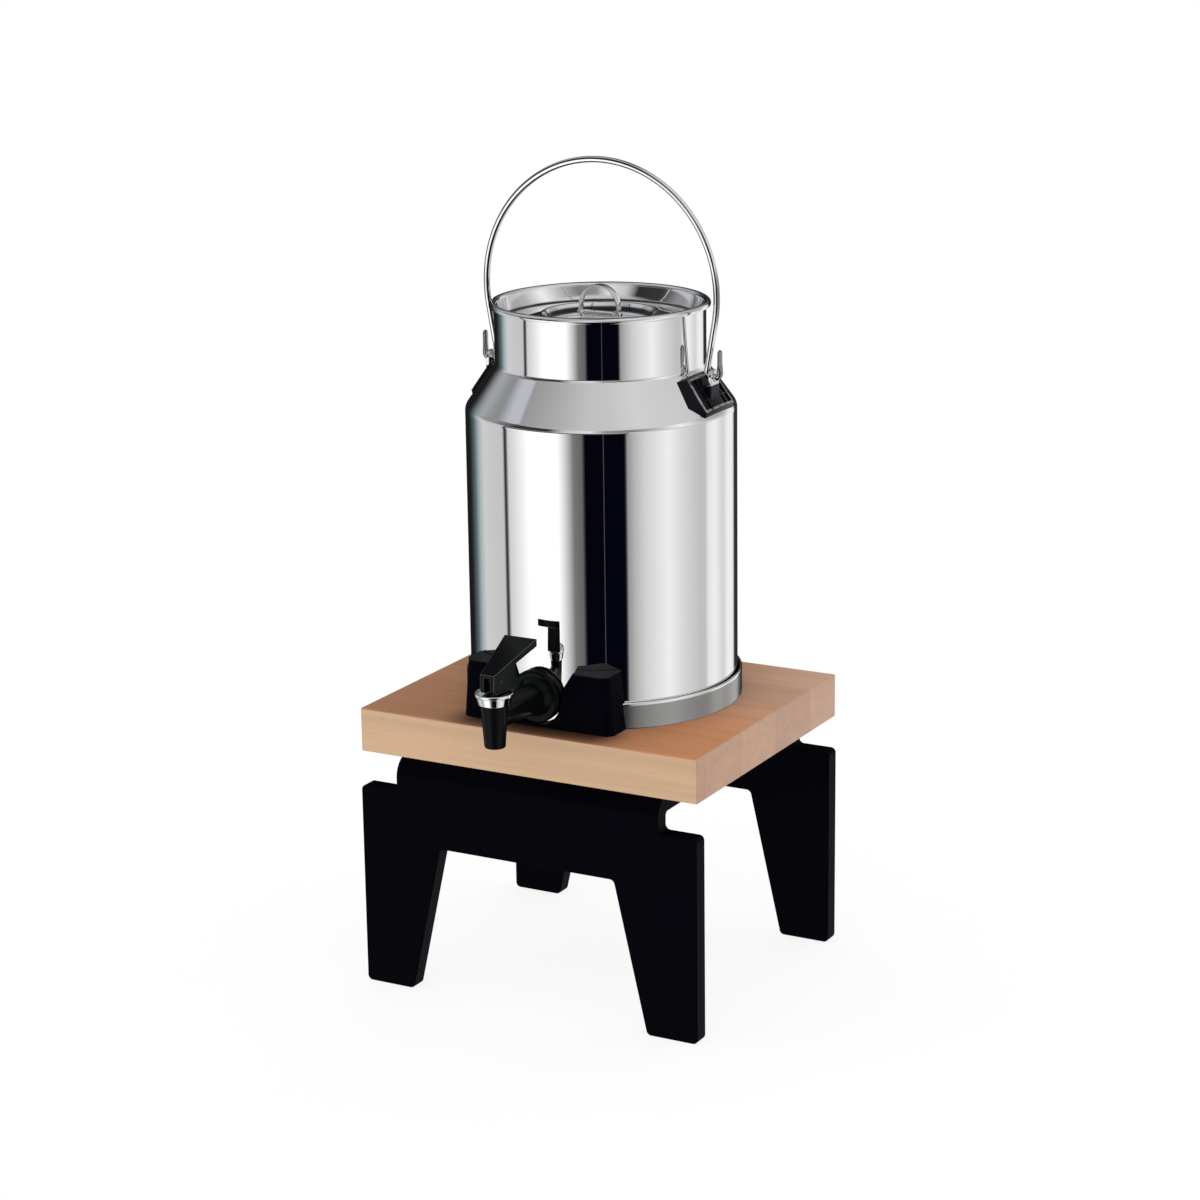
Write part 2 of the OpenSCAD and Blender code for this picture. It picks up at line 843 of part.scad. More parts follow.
// Upright plate with its eye, let into the rim of the ear plate
module ear_eye() {
    at_can()
    difference() {
        eye_blank();
        translate([eye_x, 0, eye_up])
        bar_x(eye_r, eye_t + 2 * cut);
    }
}

module ear_plate_right() {
    color("dimgray")
    ear_plate();
}

module ear_plate_left() {
    color("dimgray")
    mirror([1, 0, 0])
    ear_plate();
}

module ear_eye_right() {
    color("silver")
    ear_eye();
}

module ear_eye_left() {
    color("silver")
    mirror([1, 0, 0])
    ear_eye();
}

// Tap

// Shank, arm, barrel and spout in one, bored from the can to the chamber and down to the outlet
module tap_body() {
    front_l = tap_reach - gasket_t - flange_t - hub_t;
    color([0.09, 0.1, 0.1])
    difference() {
        union() {
            at_can_front()
            translate([0, shank_l, 0])
            bar_front(shank_d / 2, shank_l + gasket_t + flange_t + hub_t);
            translate([0, spout_y + front_l, tap_z])
            rotate([90, 0, 0])
            cylinder(d1 = arm_back_d, d2 = arm_front_d, h = front_l);
            at_spout(tap_z - spout_drop)
            cylinder(d1 = tip_d, d2 = barrel_d, h = spout_drop + spout_rise);
            at_spout(bonnet_z)
            cylinder(d = barrel_d, h = barrel_top - bonnet_z);
        }
        at_spout(seat_z)
        cylinder(d = chamber_d, h = barrel_top - seat_z + cut);
        at_spout(tap_z - spout_drop - cut)
        cylinder(d = outlet_d, h = seat_z - tap_z + spout_drop + 2 * cut);
        at_can_front()
        translate([0, shank_l + cut, 0])
        bar_front(inlet_d / 2, shank_l + tap_reach + cut);
    }
}

// Round rosette with a rounded rim and a conical hub
module tap_flange() {
    r = flange_d / 2;
    bore = shank_d / 2 + fix_gap;
    all_t = flange_t + hub_t;
    color([0.07, 0.07, 0.08])
    at_can_front()
    translate([0, -gasket_t, 0])
    rotate([90, 0, 0])
    rotate_extrude()
    polygon(rounded(
        [[bore, 0], [r, 0], [r, flange_t], [hub_d / 2, flange_t], [arm_back_d / 2, all_t], [bore, all_t]],
        [0, 0, flange_t / 2, 0, 0, 0]
    ));
}

// Washer that fills the space between the can's curved wall and a flat seat
module outer_gasket() {
    color([0.2, 0.2, 0.2])
    difference() {
        at_can_front()
        translate([0, gasket_d / 2, 0])
        difference() {
            bar_front(gasket_d / 2, gasket_t + gasket_d / 2);
            translate([0, cut, 0])
            bar_front(shank_d / 2 + fix_gap, gasket_t + gasket_d / 2 + 2 * cut);
        }
        at_can()
        cylinder(r = can_r, h = body_h, $fn = fine_fn);
    }
}

module inner_gasket() {
    color([0.2, 0.2, 0.2])
    intersection() {
        at_can_front()
        translate([0, can_wall + inner_gasket_t, 0])
        difference() {
            bar_front(inner_gasket_d / 2, inner_gasket_t + cut);
            translate([0, cut, 0])
            bar_front(shank_d / 2 + fix_gap, inner_gasket_t + 3 * cut);
        }
        at_can()
        cylinder(r = can_r - can_wall, h = body_h, $fn = fine_fn);
    }
}

module lock_nut() {
    color("gainsboro")
    at_can_front()
    translate([0, can_wall + inner_gasket_t + nut_t, 0])
    difference() {
        rotate([90, 0, 0])
        cylinder(d = nut_w / cos(30), h = nut_t, $fn = 6);
        translate([0, cut, 0])
        bar_front(shank_d / 2 + fix_gap, nut_t + 2 * cut);
    }
}

// Cap ring that closes the barrel, with a hole for the stem
module bonnet_ring() {
    r = bonnet_d / 2;
    bore = barrel_d / 2 + fix_gap;
    stem_bore = stem_d / 2 + stem_gap;
    color("whitesmoke")
    at_spout(bonnet_z)
    rotate_extrude()
    polygon(rounded(
        [
            [bore, 0], [bonnet_foot_d / 2, 0], [r, bonnet_h - bonnet_t], [r, bonnet_h],
            [stem_bore, bonnet_h], [stem_bore, bonnet_h - bonnet_t], [bore, bonnet_h - bonnet_t]
        ],
        [0, bonnet_t / 2, 0, bonnet_t / 2, 0, 0, 0]
    ));
}

// Soft cup: a flange under the bonnet, a sleeve on the stem and a plug on the seat
module seat_cup() {
    stem_bore = stem_d / 2 + fix_gap;
    sleeve = stem_d / 2 + cup_flange_t;
    top = barrel_top + fix_gap - seat_z;
    plug = plug_d / 2;
    plug_h = seat_drop - inlet_d / 2;
    color("snow")
    at_spout(seat_z)
    rotate_extrude()
    polygon([
        [0, 0], [plug, 0], [plug, plug_h], [sleeve, 2 * plug_h], [sleeve, top],
        [barrel_d / 2, top], [barrel_d / 2, top + cup_flange_t], [stem_bore, top + cup_flange_t],
        [stem_bore, plug_h], [0, plug_h]
    ]);
}

// Rod with a round eye for the lever's pin
module valve_stem() {
    foot = seat_z + seat_drop - inlet_d / 2 + fix_gap;
    w = fork_slot_w - 2 * stem_gap;
    color("gainsboro")
    difference() {
        union() {
            at_spout(foot)
            cylinder(d = stem_d, h = bonnet_top + lever_pin_h / 2 - foot);
            at_spout(lever_pin_z)
            bar_x(stem_head_r, w);
            at_spout(bonnet_top + lever_pin_h / 3)
            translate([-w / 2, -stem_d / 2, 0])
            cube([w, stem_d, lever_pin_h * 2 / 3]);
        }
        at_spout(lever_pin_z)
        bar_x(lever_pin_d / 2 + run_gap, fork_w);
    }
}

// Lever: its side profile crossed with its plan, slotted for the stem
module lever() {
    foot = -lever_pin_h + lever_gap;
    side = rounded(
        [
            [-toe_l, foot], [heel_l, foot], [kink_l, kink_h], [paddle_l, paddle_h - paddle_t],
            [paddle_l, paddle_h], [-brow_l, brow_h]
        ],
        [toe_r, lever_edge_r, 0, lever_edge_r, lever_edge_r, brow_r]
    );
    plan = [[fork_w / 2, -toe_l - cut], [paddle_w / 2, paddle_l + cut]];
    room = stem_head_r + stem_gap;
    color([0.09, 0.1, 0.1])
    at_spout(lever_pin_z)
    difference() {
        intersection() {
            across(paddle_w)
            polygon(side);
            translate([0, 0, -lever_pin_h])
            linear_extrude(height = lever_pin_h + paddle_h)
            polygon(both_sides(plan));
        }
        bar_x(room, fork_slot_w);
        translate([-fork_slot_w / 2, -toe_l - cut, -lever_pin_h])
        cube([fork_slot_w, toe_l + cut + room, lever_pin_h]);
        translate([-fork_slot_w / 2, -toe_l - cut, -cut])
        cube([fork_slot_w, toe_l + cut, room + cut]);
        bar_x(lever_pin_d / 2 + fix_gap, paddle_w);
    }
}

module lever_pin() {
    color("silver")
    at_spout(lever_pin_z)
    bar_x(lever_pin_d / 2, lever_pin_w);
}

// Bail

// Bend of the wire in the plane of the bail, about a middle, over an angle
module wire_bend(mid, r, from, turn) {
    translate([mid[0], 0, mid[1]])
    rotate([90, 0, 0])
    rotate([0, 0, from])
    rotate_extrude(angle = turn)
    translate([r, 0])
    circle(d = wire_d);
}

// Point q, carried on past itself along the way from p
function past(p, q) = q + unit(q - p) * weld_l;

// Straight wire between two points in the plane of the bail
module wire_run(p, q) {
    d = q - p;
    translate([p[0], 0, p[1]])
    rotate([0, atan2(d[0], d[1]), 0])
    cylinder(d = run_d, h = norm(d));
}

// One leg with its hook through the eye and its upturned tail
module bail_side() {
    bow_end = [bow_r * cos(bail_lean), bow_z - bow_r * sin(bail_lean)];
    leg_foot = [leg_foot_x, leg_foot_z];
    hook_in = [hook_x, 0];
    hook_out = [tail_x - hook_r, 0];
    tail_foot = [tail_x, hook_r];
    tail_top = [tail_x, tail_l];
    wire_run(past(bow_end, leg_foot), past(leg_foot, bow_end));
    wire_bend([hook_x, hook_r], hook_r, 180 - bail_lean, 90 + bail_lean);
    wire_run(past(hook_out, hook_in), past(hook_in, hook_out));
    wire_bend([tail_x - hook_r, hook_r], hook_r, 270, 90);
    wire_run(past(tail_top, tail_foot), tail_top);
    translate([tail_x, 0, tail_l])
    cylinder(d1 = run_d, d2 = wire_d / 2, h = wire_d / 4);
}

module bail() {
    color("lightgray")
    translate([0, can_y, eye_z]) {
        wire_bend([0, bow_z], bow_r, -bail_lean, 180 + 2 * bail_lean);
        bail_side();
        mirror([1, 0, 0])
        bail_side();
    }
}

// Lid

// Upper side of the lid from its middle to the outer edge of its lip, about the lip's middle
function lid_path() = concat(
    rounded_path(
        [
            [0, lid_floor_z - bead_z], [recess_d / 2 - recess_draft, lid_floor_z - bead_z],
            [recess_d / 2, floor_rise - gutter_drop], [gutter_r, -gutter_drop],
            [bead_mid_r - lip_r, 0]
        ],
        [0, lid_t, lid_t * 2, lid_t * 2, 0]
    ),
    [for (p = arc([bead_mid_r, 0], lip_r, 180, -15)) if (p[0] > bead_mid_r - lip_r) p]
);

module lid() {
    color("silver")
    translate([0, can_y, bead_z])
    rotate_extrude()
    polygon(sheet(lid_path(), -lid_t));
}

// Rolled barrel on a foot that lies on the lid
module handle_clip() {
    barrel_r = hinge_pin_d / 2 + fix_gap + clip_t;
    up = hinge_z - lid_floor_z;
    color("silver")
    translate([0, can_y, lid_floor_z])
    difference() {
        union() {
            translate([-clip_l / 2, -clip_foot_w / 2, 0])
            cube([clip_l, clip_foot_w, clip_t]);
            translate([-clip_l / 2, -barrel_r, 0])
            cube([clip_l, 2 * barrel_r, up]);
            translate([0, 0, up])
            bar_x(barrel_r, clip_l);
        }
        translate([0, 0, up])
        bar_x(hinge_pin_d / 2 + fix_gap, clip_l + 2 * cut);
    }
}

module handle_pin() {
    head_x = handle_r + lip_gap + hinge_head_t / 2;
    color("silver")
    translate([0, can_y, hinge_z]) {
        bar_x(hinge_pin_d / 2, 2 * head_x);
        for (side = [-1, 1])
            translate([side * head_x, 0, 0])
            bar_x(hinge_head_d / 2, hinge_head_t);
    }
}

// Arched strap with round feet on the hinge pin
module lid_handle() {
    rise = handle_h - handle_r;
    color("silver")
    translate([0, can_y, hinge_z])
    difference() {
        union() {
            intersection() {
                translate([0, strap_w / 2, rise])
                difference() {
                    bar_front(handle_r, strap_w);
                    translate([0, cut, 0])
                    bar_front(handle_r - strap_t, strap_w + 2 * cut);
                }
                translate([-handle_r, -strap_w / 2, rise])
                cube([handle_w, strap_w, handle_r]);
            }
            for (side = [-1, 1])
                translate([side * (handle_r - strap_t / 2), 0, 0]) {
                    translate([-strap_t / 2, -strap_w / 2, 0])
                    cube([strap_t, strap_w, rise]);
                    bar_x(strap_w / 2, strap_t);
                }
        }
        bar_x(hinge_pin_d / 2 + run_gap, handle_w + 2 * cut);
    }
}

wood_board();
front_leg_frame();
rear_leg_frame();
leg_screws();
foot_ring();
ring_screws();
front_bracket();
bracket_screws();
can_body();
can_top();
can_bottom();
ear_plate_right();
ear_plate_left();
ear_eye_right();
ear_eye_left();
tap_body();
tap_flange();
outer_gasket();
inner_gasket();
lock_nut();
bonnet_ring();
seat_cup();
valve_stem();
lever();
lever_pin();
bail();
lid();
handle_clip();
handle_pin();
lid_handle();
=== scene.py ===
"""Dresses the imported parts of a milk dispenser: smooth surfaces, finishes, studio and camera.

Lengths are metres in the part's own frame: +Z up, the tap points to -Y, the floor is at 0.
"""

import json
import math

import bmesh
import bpy
import numpy as np
from bpy.props import FloatProperty, FloatVectorProperty, PointerProperty
from bpy.types import Operator, Panel, PropertyGroup
from mathutils import Matrix, Vector


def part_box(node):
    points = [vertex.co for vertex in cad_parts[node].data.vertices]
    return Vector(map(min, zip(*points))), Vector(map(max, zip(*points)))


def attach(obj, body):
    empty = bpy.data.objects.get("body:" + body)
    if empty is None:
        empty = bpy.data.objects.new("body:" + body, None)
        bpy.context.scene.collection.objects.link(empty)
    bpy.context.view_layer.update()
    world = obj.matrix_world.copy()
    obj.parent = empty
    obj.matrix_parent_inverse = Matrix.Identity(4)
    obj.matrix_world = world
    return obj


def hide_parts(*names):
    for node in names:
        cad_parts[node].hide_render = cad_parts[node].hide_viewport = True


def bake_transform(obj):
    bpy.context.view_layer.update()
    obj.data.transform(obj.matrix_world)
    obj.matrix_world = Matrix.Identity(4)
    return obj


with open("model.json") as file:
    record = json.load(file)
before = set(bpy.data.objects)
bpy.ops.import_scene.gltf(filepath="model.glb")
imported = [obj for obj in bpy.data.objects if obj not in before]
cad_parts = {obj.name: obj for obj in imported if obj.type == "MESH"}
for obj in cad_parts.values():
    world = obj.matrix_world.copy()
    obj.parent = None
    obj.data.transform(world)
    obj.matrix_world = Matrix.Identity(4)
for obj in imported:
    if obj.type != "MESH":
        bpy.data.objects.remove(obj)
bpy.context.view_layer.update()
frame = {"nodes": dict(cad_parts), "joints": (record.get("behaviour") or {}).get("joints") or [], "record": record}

bl_info = {
    "name": "Milk dispenser",
    "version": (1, 0, 0),
    "blender": (4, 5, 0),
    "location": "3D View > Sidebar > Milk dispenser",
    "description": "Dresses the parts of a milk dispenser with smooth surfaces and finishes",
    "category": "Object",
}

DONE = {"FINISHED"}
TURN = 2 * math.pi


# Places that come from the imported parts

class Box:
    """Lowest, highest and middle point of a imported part."""

    def __init__(self, node):
        self.low, self.high = (np.array(p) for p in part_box(node))
        self.mid = (self.low + self.high) / 2


BOARD, RING, BRACKET = Box("wood_board"), Box("foot_ring"), Box("front_bracket")
CAN, TOP, EYE, BAIL = Box("can_body"), Box("can_top"), Box("ear_eye_right"), Box("bail")
FLANGE, TAP, BONNET, CUP = Box("tap_flange"), Box("tap_body"), Box("bonnet_ring"), Box("seat_cup")
LEVER, PIN = Box("lever"), Box("lever_pin")
LID, CLIP, HINGE, HANDLE = Box("lid"), Box("handle_clip"), Box("handle_pin"), Box("lid_handle")

CAN_Y = CAN.mid[1]
CAN_R = (CAN.high[0] - CAN.low[0]) / 2
CAN_AXIS = (0, CAN_Y, 0)
TAP_Z = FLANGE.mid[2]
SPOUT_Y = BONNET.mid[1]
SPOUT_AXIS = (0, SPOUT_Y, 0)
LEVER_Z = PIN.mid[2]
HINGE_Z = HINGE.mid[2]
EYE_Z = next(j for j in frame["joints"] if j["name"] == "bail_swing")["pos_m"][2]


# Settings

def length(name, description, default):
    """A length that a user may change."""
    return FloatProperty(name=name, description=description, default=default, unit="LENGTH", precision=5)


def angle(name, description, degrees):
    """An angle that a user may change."""
    return FloatProperty(name=name, description=description, default=math.radians(degrees), subtype="ANGLE")


def amount(name, description, default):
    """A plain positive number that a user may change."""
    return FloatProperty(name=name, description=description, default=default, min=0)


def colour(name, description, default):
    """A linear colour that a user may change."""
    return FloatVectorProperty(
        name=name, description=description, default=default, subtype="COLOR", size=3, min=0, max=1
    )


class CanSizes(PropertyGroup):
    wall: length("Wall", "Thickness of the can's sheet", 0.0009)
    neck_r: length("Neck radius", "Outside radius of the neck", 0.0694)
    shoulder_z: length("Shoulder", "Height where the shoulder starts", 0.3879)
    neck_z: length("Neck", "Height where the neck starts", 0.4158)
    shoulder_bend_r: length("Shoulder bend", "Radius of the bend under the shoulder", 0.008)
    neck_bend_r: length("Neck bend", "Radius of the bend under the neck", 0.005)
    bead_r: length("Bead", "Radius of the rim's bead", 0.0015)
    ear_l: length("Ear length", "Length of an ear plate down the slope", 0.029)
    ear_top_w: length("Ear top width", "Width of an ear plate at its top", 0.0475)
    ear_wide_w: length("Ear width", "Width of an ear plate at its widest", 0.0555)
    ear_foot_w: length("Ear foot width", "Width of an ear plate at its foot", 0.0385)
    ear_foot_h: length("Ear foot", "Height of an ear plate's upright foot", 0.0004)
    rim_top_w: length("Rim top width", "Width across the raised rim at its top", 0.0365)
    rim_foot_w: length("Rim foot width", "Width across the raised rim at its foot", 0.039)
    rib_w: length("Rib", "Width of the ribs within the rim", 0.0008)
    rib_h: length("Rib height", "Height of the ribs above the floor", 0.0009)
    rib_sink: length("Rib sink", "Depth of the ribs in the floor", 0.0003)
    ear_t: length("Ear floor", "Thickness of an ear plate within its rim", 0.0018)
    ear_rim_h: length("Ear rim", "Height of the rim above the floor", 0.0014)
    ear_rim_w: length("Ear rim width", "Width of the rim's top", 0.0014)
    ear_bevel: length("Ear inset", "Inset of the rim from the plate's top and foot", 0.0025)
    ear_edge_r: length("Ear edges", "Radius of the plate's edges", 0.0003)
    ear_gap: length("Ear gap", "Distance of an ear plate from the neck, along the slope", 0.0025)
    eye_r: length("Eye", "Radius of the hole in an eye plate", 0.0024)
    eye_wall: length("Eye wall", "Metal around the hole", 0.0032)
    eye_foot_w: length("Eye foot", "Width of an eye plate at its foot", 0.0125)
    eye_coat_drop: length("Eye coat", "Drop from the eye to the black coat on its foot", 0.0045)


class BailSizes(PropertyGroup):
    wire_r: length("Wire", "Radius of the wire", 0.0021)
    hook_r: length("Hook", "Radius of the hook's bends", 0.003)
    hook_gap: length("Hook gap", "Gap between the hooks and the eye plates", 0.0003)
    tail_l: length("Tail", "Height of the tail's end above the eye", 0.0183)
    tail_w: length("Tail width", "Width of the flattened tail", 0.0058)
    tail_t: length("Tail thickness", "Thickness of the flattened tail", 0.0024)
    tail_press: length("Tail press", "Length over which the wire becomes flat", 0.006)
    lean: angle("Lean", "Lean of the legs towards the eyes", 10)


class LidSizes(PropertyGroup):
    sheet_t: length("Sheet", "Thickness of the lid's sheet", 0.0007)
    lip_r: length("Lip", "Radius of the rolled lip", 0.00255)
    gutter_r: length("Gutter", "Radius of the gutter at the foot of the wall", 0.0635)
    gutter_drop: length("Gutter drop", "Drop from the lip's middle to the gutter", 0.0094)
    gutter_bend_r: length("Gutter bend", "Radius of the bend in the gutter", 0.002)
    floor_rise: length("Floor rise", "Rise of the floor from the gutter to the sunken middle", 0.0042)
    recess_r: length("Recess", "Radius of the sunken middle", 0.0374)
    recess_h: length("Recess depth", "Depth of the sunken middle", 0.0048)
    recess_draft: length("Recess draft", "Sideways slope of the sunken middle's wall", 0.0034)
    recess_rim_r: length("Recess rim", "Radius of the bend round the sunken middle", 0.0018)
    recess_foot_r: length("Recess foot", "Radius of the bend at the sunken middle's foot", 0.0012)
    # Painted shade: the next five place a dark ring painted in each of the lid's two creases.
    recess_shade_r: length("Recess polish", "Radius of the polish left round the sunken middle", 0.0342)
    recess_shade_w: length("Recess polish width", "Half width of that polish", 0.0018)
    gutter_shade_r: length("Gutter polish", "Radius of the polish left in the gutter", 0.0632)
    gutter_shade_w: length("Gutter polish width", "Half width of that polish", 0.0012)
    shade_wander: length("Polish wander", "Wander of the polish's edges", 0.0006)
    strap_t: length("Strap", "Thickness of the handle's strap", 0.0012)
    clip_t: length("Clip sheet", "Thickness of the clip's sheet", 0.0009)
    clip_edge_r: length("Clip edges", "Radius of the clip's edges", 0.0002)
    pin_r: length("Pin", "Radius of the hinge pin", 0.00125)
    head_t: length("Pin head", "Thickness of the hinge pin's heads", 0.0012)
    head_edge_r: length("Pin head edge", "Radius of the edge of the hinge pin's heads", 0.0007)


class TapSizes(PropertyGroup):
    flange_t: length("Flange", "Thickness of the flange's rim", 0.005)
    hub_r: length("Hub", "Radius of the flange's hub", 0.013)
    hub_edge_r: length("Hub edges", "Radius of the hub's edges", 0.0008)
    arm_back_r: length("Arm at the hub", "Radius of the arm at the hub", 0.010)
    arm_front_r: length("Arm at the barrel", "Radius of the arm at the barrel", 0.0075)
    shank_r: length("Shank", "Radius of the shank behind the flange", 0.008)
    bore_r: length("Bore", "Radius of the shank's bore", 0.0045)
    barrel_r: length("Barrel", "Radius of the barrel", 0.009)
    tip_r: length("Tip", "Radius of the spout's tip", 0.00675)
    tip_edge_r: length("Tip edge", "Radius of the tip's outer edge", 0.0012)
    outlet_r: length("Outlet", "Radius of the outlet", 0.004)
    outlet_h: length("Outlet depth", "Depth of the outlet up to the seat", 0.012)
    edge_r: length("Edges", "Radius of the other moulded edges", 0.0006)
    bonnet_foot_r: length("Bonnet foot", "Radius of the bonnet ring at its foot", 0.0106)
    bonnet_t: length("Bonnet top", "Thickness of the bonnet's top", 0.0015)
    stem_bore_r: length("Stem hole", "Radius of the hole for the stem", 0.0028)
    plug_r: length("Plug", "Radius of the seat cup's plug", 0.0053)
    plug_h: length("Plug height", "Height of the seat cup's plug", 0.003)
    cup_bore_r: length("Cup bore", "Radius of the seat cup's bore", 0.00255)
    cup_t: length("Cup wall", "Thickness of the seat cup's sleeve and flange", 0.00095)


class LeverSizes(PropertyGroup):
    fork_w: length("Fork", "Width of the fork at its toe", 0.010)
    slot_w: length("Slot", "Width of the slot between the cheeks", 0.0052)
    room_r: length("Room", "Radius of the room round the stem's head", 0.0038)
    toe_r: length("Toe", "Radius of the toe", 0.004)
    heel_l: length("Heel", "Reach of the heel behind the pin", 0.015)
    kink_l: length("Bend", "Reach of the bend behind the pin", 0.0134)
    kink_h: length("Bend height", "Height of the paddle's underside at the bend", 0.0086)
    brow_l: length("Brow", "Reach of the brow in front of the pin", 0.008)
    brow_h: length("Brow height", "Height of the brow above the pin", 0.0055)
    paddle_t: length("Paddle", "Thickness of the paddle's end", 0.0048)
    edge_r: length("Edges", "Radius of the moulded edges", 0.0007)


class StandSizes(PropertyGroup):
    board_edge_r: length("Board edge", "Radius of the board's eased edges", 0.0012)
    leg_t: length("Plate", "Thickness of the bent plate", 0.012)
    bend_r: length("Bend", "Inside radius of the bend under the board", 0.0025)
    neck_inset: length("Neck inset", "Inset of a frame's neck from its side", 0.0275)
    shoulder_drop: length("Shoulder drop", "Drop from the board to a leg's shoulder", 0.023)
    apron_drop: length("Apron drop", "Drop from the board to the apron's lower edge", 0.0595)
    leg_top_w: length("Leg width", "Width of a leg at the apron", 0.060)
    foot_w: length("Foot width", "Width of a foot", 0.0365)
    corner_r: length("Corners", "Radius of the outline's corners", 0.0035)
    leg_edge_r: length("Plate edges", "Radius of the plate's edges", 0.0008)
    ring_wall: length("Ring wall", "Thickness of the foot ring's sheet", 0.0012)
    ring_lip_r: length("Ring lip", "Radius of the foot ring's lip", 0.0009)
    ring_floor_w: length("Ring floor", "Width of the foot ring's floor", 0.022)
    ring_mouth_w: length("Ring mouth", "Width of the foot ring's front opening", 0.100)
    bracket_top_w: length("Bracket top", "Width of the bracket at its top", 0.104)
    bracket_gap: length("Bracket gap", "Gap between the bracket and the can", 0.0006)
    notch_gap: length("Notch gap", "Gap between the notch and the flange", 0.0015)
    notch_straight_h: length("Notch straight", "Height above the tap's axis where the notch widens", 0.0055)
    notch_mouth_w: length("Notch mouth", "Width of the notch at the top", 0.056)
    bracket_corner_r: length("Bracket corners", "Radius of the bracket's front corners", 0.006)
    bracket_edge_r: length("Bracket edges", "Radius of the bracket's edges", 0.0012)


class Finishes(PropertyGroup):
    # The beech tones are in part painted light: face and edge tones are lit and shaded copies of one wood, the end
    # tone is end grain with painted light in it, and the two right-side tones paint light across the upper face.
    beech_face: colour("Beech face", "Oiled face of the board", (0.455, 0.215, 0.108))
    beech_lit_right: colour("Beech warm", "Warmer right side of the board's face", (0.60, 0.25, 0.105))
    beech_lit_far: colour("Beech far", "Paler right side of the board's face at the back", (0.60, 0.36, 0.245))
    beech_edge: colour("Beech edge", "Long edges of the board", (0.62, 0.41, 0.255))
    beech_end: colour("Beech end", "End grain of the board", (0.49, 0.305, 0.215))
    lacquer: colour("Lacquer", "Lacquer of the leg frames", (0.0011, 0.0012, 0.0028))
    bracket: colour("Bracket", "Moulding of the front bracket", (0.0011, 0.0011, 0.0034))
    # Painted light: the bracket's upper faces are painted lighter, as lit from above.
    bracket_lit_top: colour("Bracket top", "Upper faces of the front bracket", (0.022, 0.022, 0.026))
    tap: colour("Tap", "Moulding of the tap and its lever", (0.0022, 0.003, 0.0034))
    # Painted highlight: the lever's bevelled edges are painted lighter than the tap.
    tap_edge: colour("Tap edges", "Worn edges of the lever", (0.05, 0.054, 0.056))
    ear: colour("Ear", "Lacquer of the ear plates", (0.003, 0.0034, 0.006))
    steel: colour("Steel", "Polished sheet", (0.90, 0.90, 0.90))
    satin: colour("Satin steel", "Foot ring", (0.33, 0.325, 0.315))
    wire: colour("Wire", "Bail, pins and strap", (0.70, 0.70, 0.71))
    zinc: colour("Zinc", "Screws and the lever's pin", (0.55, 0.55, 0.57))
    rubber: colour("Rubber", "Gaskets", (0.02, 0.02, 0.02))
    nut: colour("Nut", "Lock nut", (0.62, 0.62, 0.59))
    silicone: colour("Silicone", "Seat cup", (0.74, 0.74, 0.71))
    stem: colour("Stem", "Valve stem", (0.012, 0.012, 0.013))


class StageSettings(PropertyGroup):
    target: FloatVectorProperty(
        name="Target", description="Point that the camera looks at", default=(-0.0001, 0.0237, 0.2551),
        subtype="TRANSLATION",
    )
    distance: length("Distance", "Distance of the camera from its target", 2.1153)
    azimuth: angle("Azimuth", "Turn of the camera to the right of the front", 28.75)
    elevation: angle("Elevation", "Height of the camera above the horizon", 15.25)
    roll: angle("Roll", "Roll of the camera", -0.77)
    lens: amount("Lens", "Focal length on a 36 mm sensor, in mm", 95.17)
    backdrop: amount("Backdrop", "Brightness of the white backdrop", 1.0)
    fill: amount("Fill", "Brightness of the soft light on matt surfaces", 1.0)
    floor_r: length("Floor", "Radius of the pale floor", 0.75)
    floor_drop: length("Floor drop", "Drop of the floor below the feet", 0.0002)


SETTINGS = {
    "can_sizes": CanSizes,
    "bail_sizes": BailSizes,
    "lid_sizes": LidSizes,
    "tap_sizes": TapSizes,
    "lever_sizes": LeverSizes,
    "stand_sizes": StandSizes,
    "finishes": Finishes,
    "stage_settings": StageSettings,
}


# Outlines and surfaces

BOTH_ENDS = (0, -1)


def spots(x, y, z):
    """Points from three coordinates, which are spread to one common shape."""
    return np.stack(np.broadcast_arrays(x, y, z), axis=-1)


def unit(v):
    """Each row of v at length 1."""
    return v / np.linalg.norm(v, axis=-1, keepdims=True)


def arc(mid, r, start, end, count):
    """Points at radius r about mid, from one angle in degrees to another."""
    a = np.radians(np.linspace(start, end, count))
    return np.asarray(mid) + r * np.stack([np.cos(a), np.sin(a)], axis=1)


def corner(p, q, s, r, count):
    """Arc of radius r that touches the lines q-p and q-s: its middle lies on the corner's bisector."""
    u, v = unit(p - q), unit(s - q)
    half = math.acos(np.clip(u @ v, -1, 1)) / 2
    mid = q + unit(u + v) * r / math.sin(half)
    a, b = q + u * r / math.tan(half), q + v * r / math.tan(half)
    t = np.linspace(0, 1, count)[:, None]
    return mid + unit(a + (b - a) * t - mid) * r


def rounded(points, radii, count=9):
    """Outline with each corner rounded by its radius. A corner with radius 0 stays as it is."""
    points = np.array(points, dtype=float)
    after = np.roll(points, -1, axis=0)
    return np.concatenate([
        corner(points[i - 1], points[i], after[i], r, count) if r > 0 else points[i:i + 1]
        for i, r in enumerate(radii)
    ])


def sheet(path, t):
    """Closed section of a sheet: a path, and the same path moved to its left by t, backwards.

    Each point moves along the mitre of the two lines that meet there.
    """
    d = unit(np.diff(path, axis=0))
    left = np.stack([-d[:, 1], d[:, 0]], axis=1)
    before, after = np.concatenate([left[:1], left]), np.concatenate([left, left[-1:]])
    moved = path + t * (before + after) / (1 + np.sum(before * after, axis=1, keepdims=True))
    return np.concatenate([path, moved[::-1]])


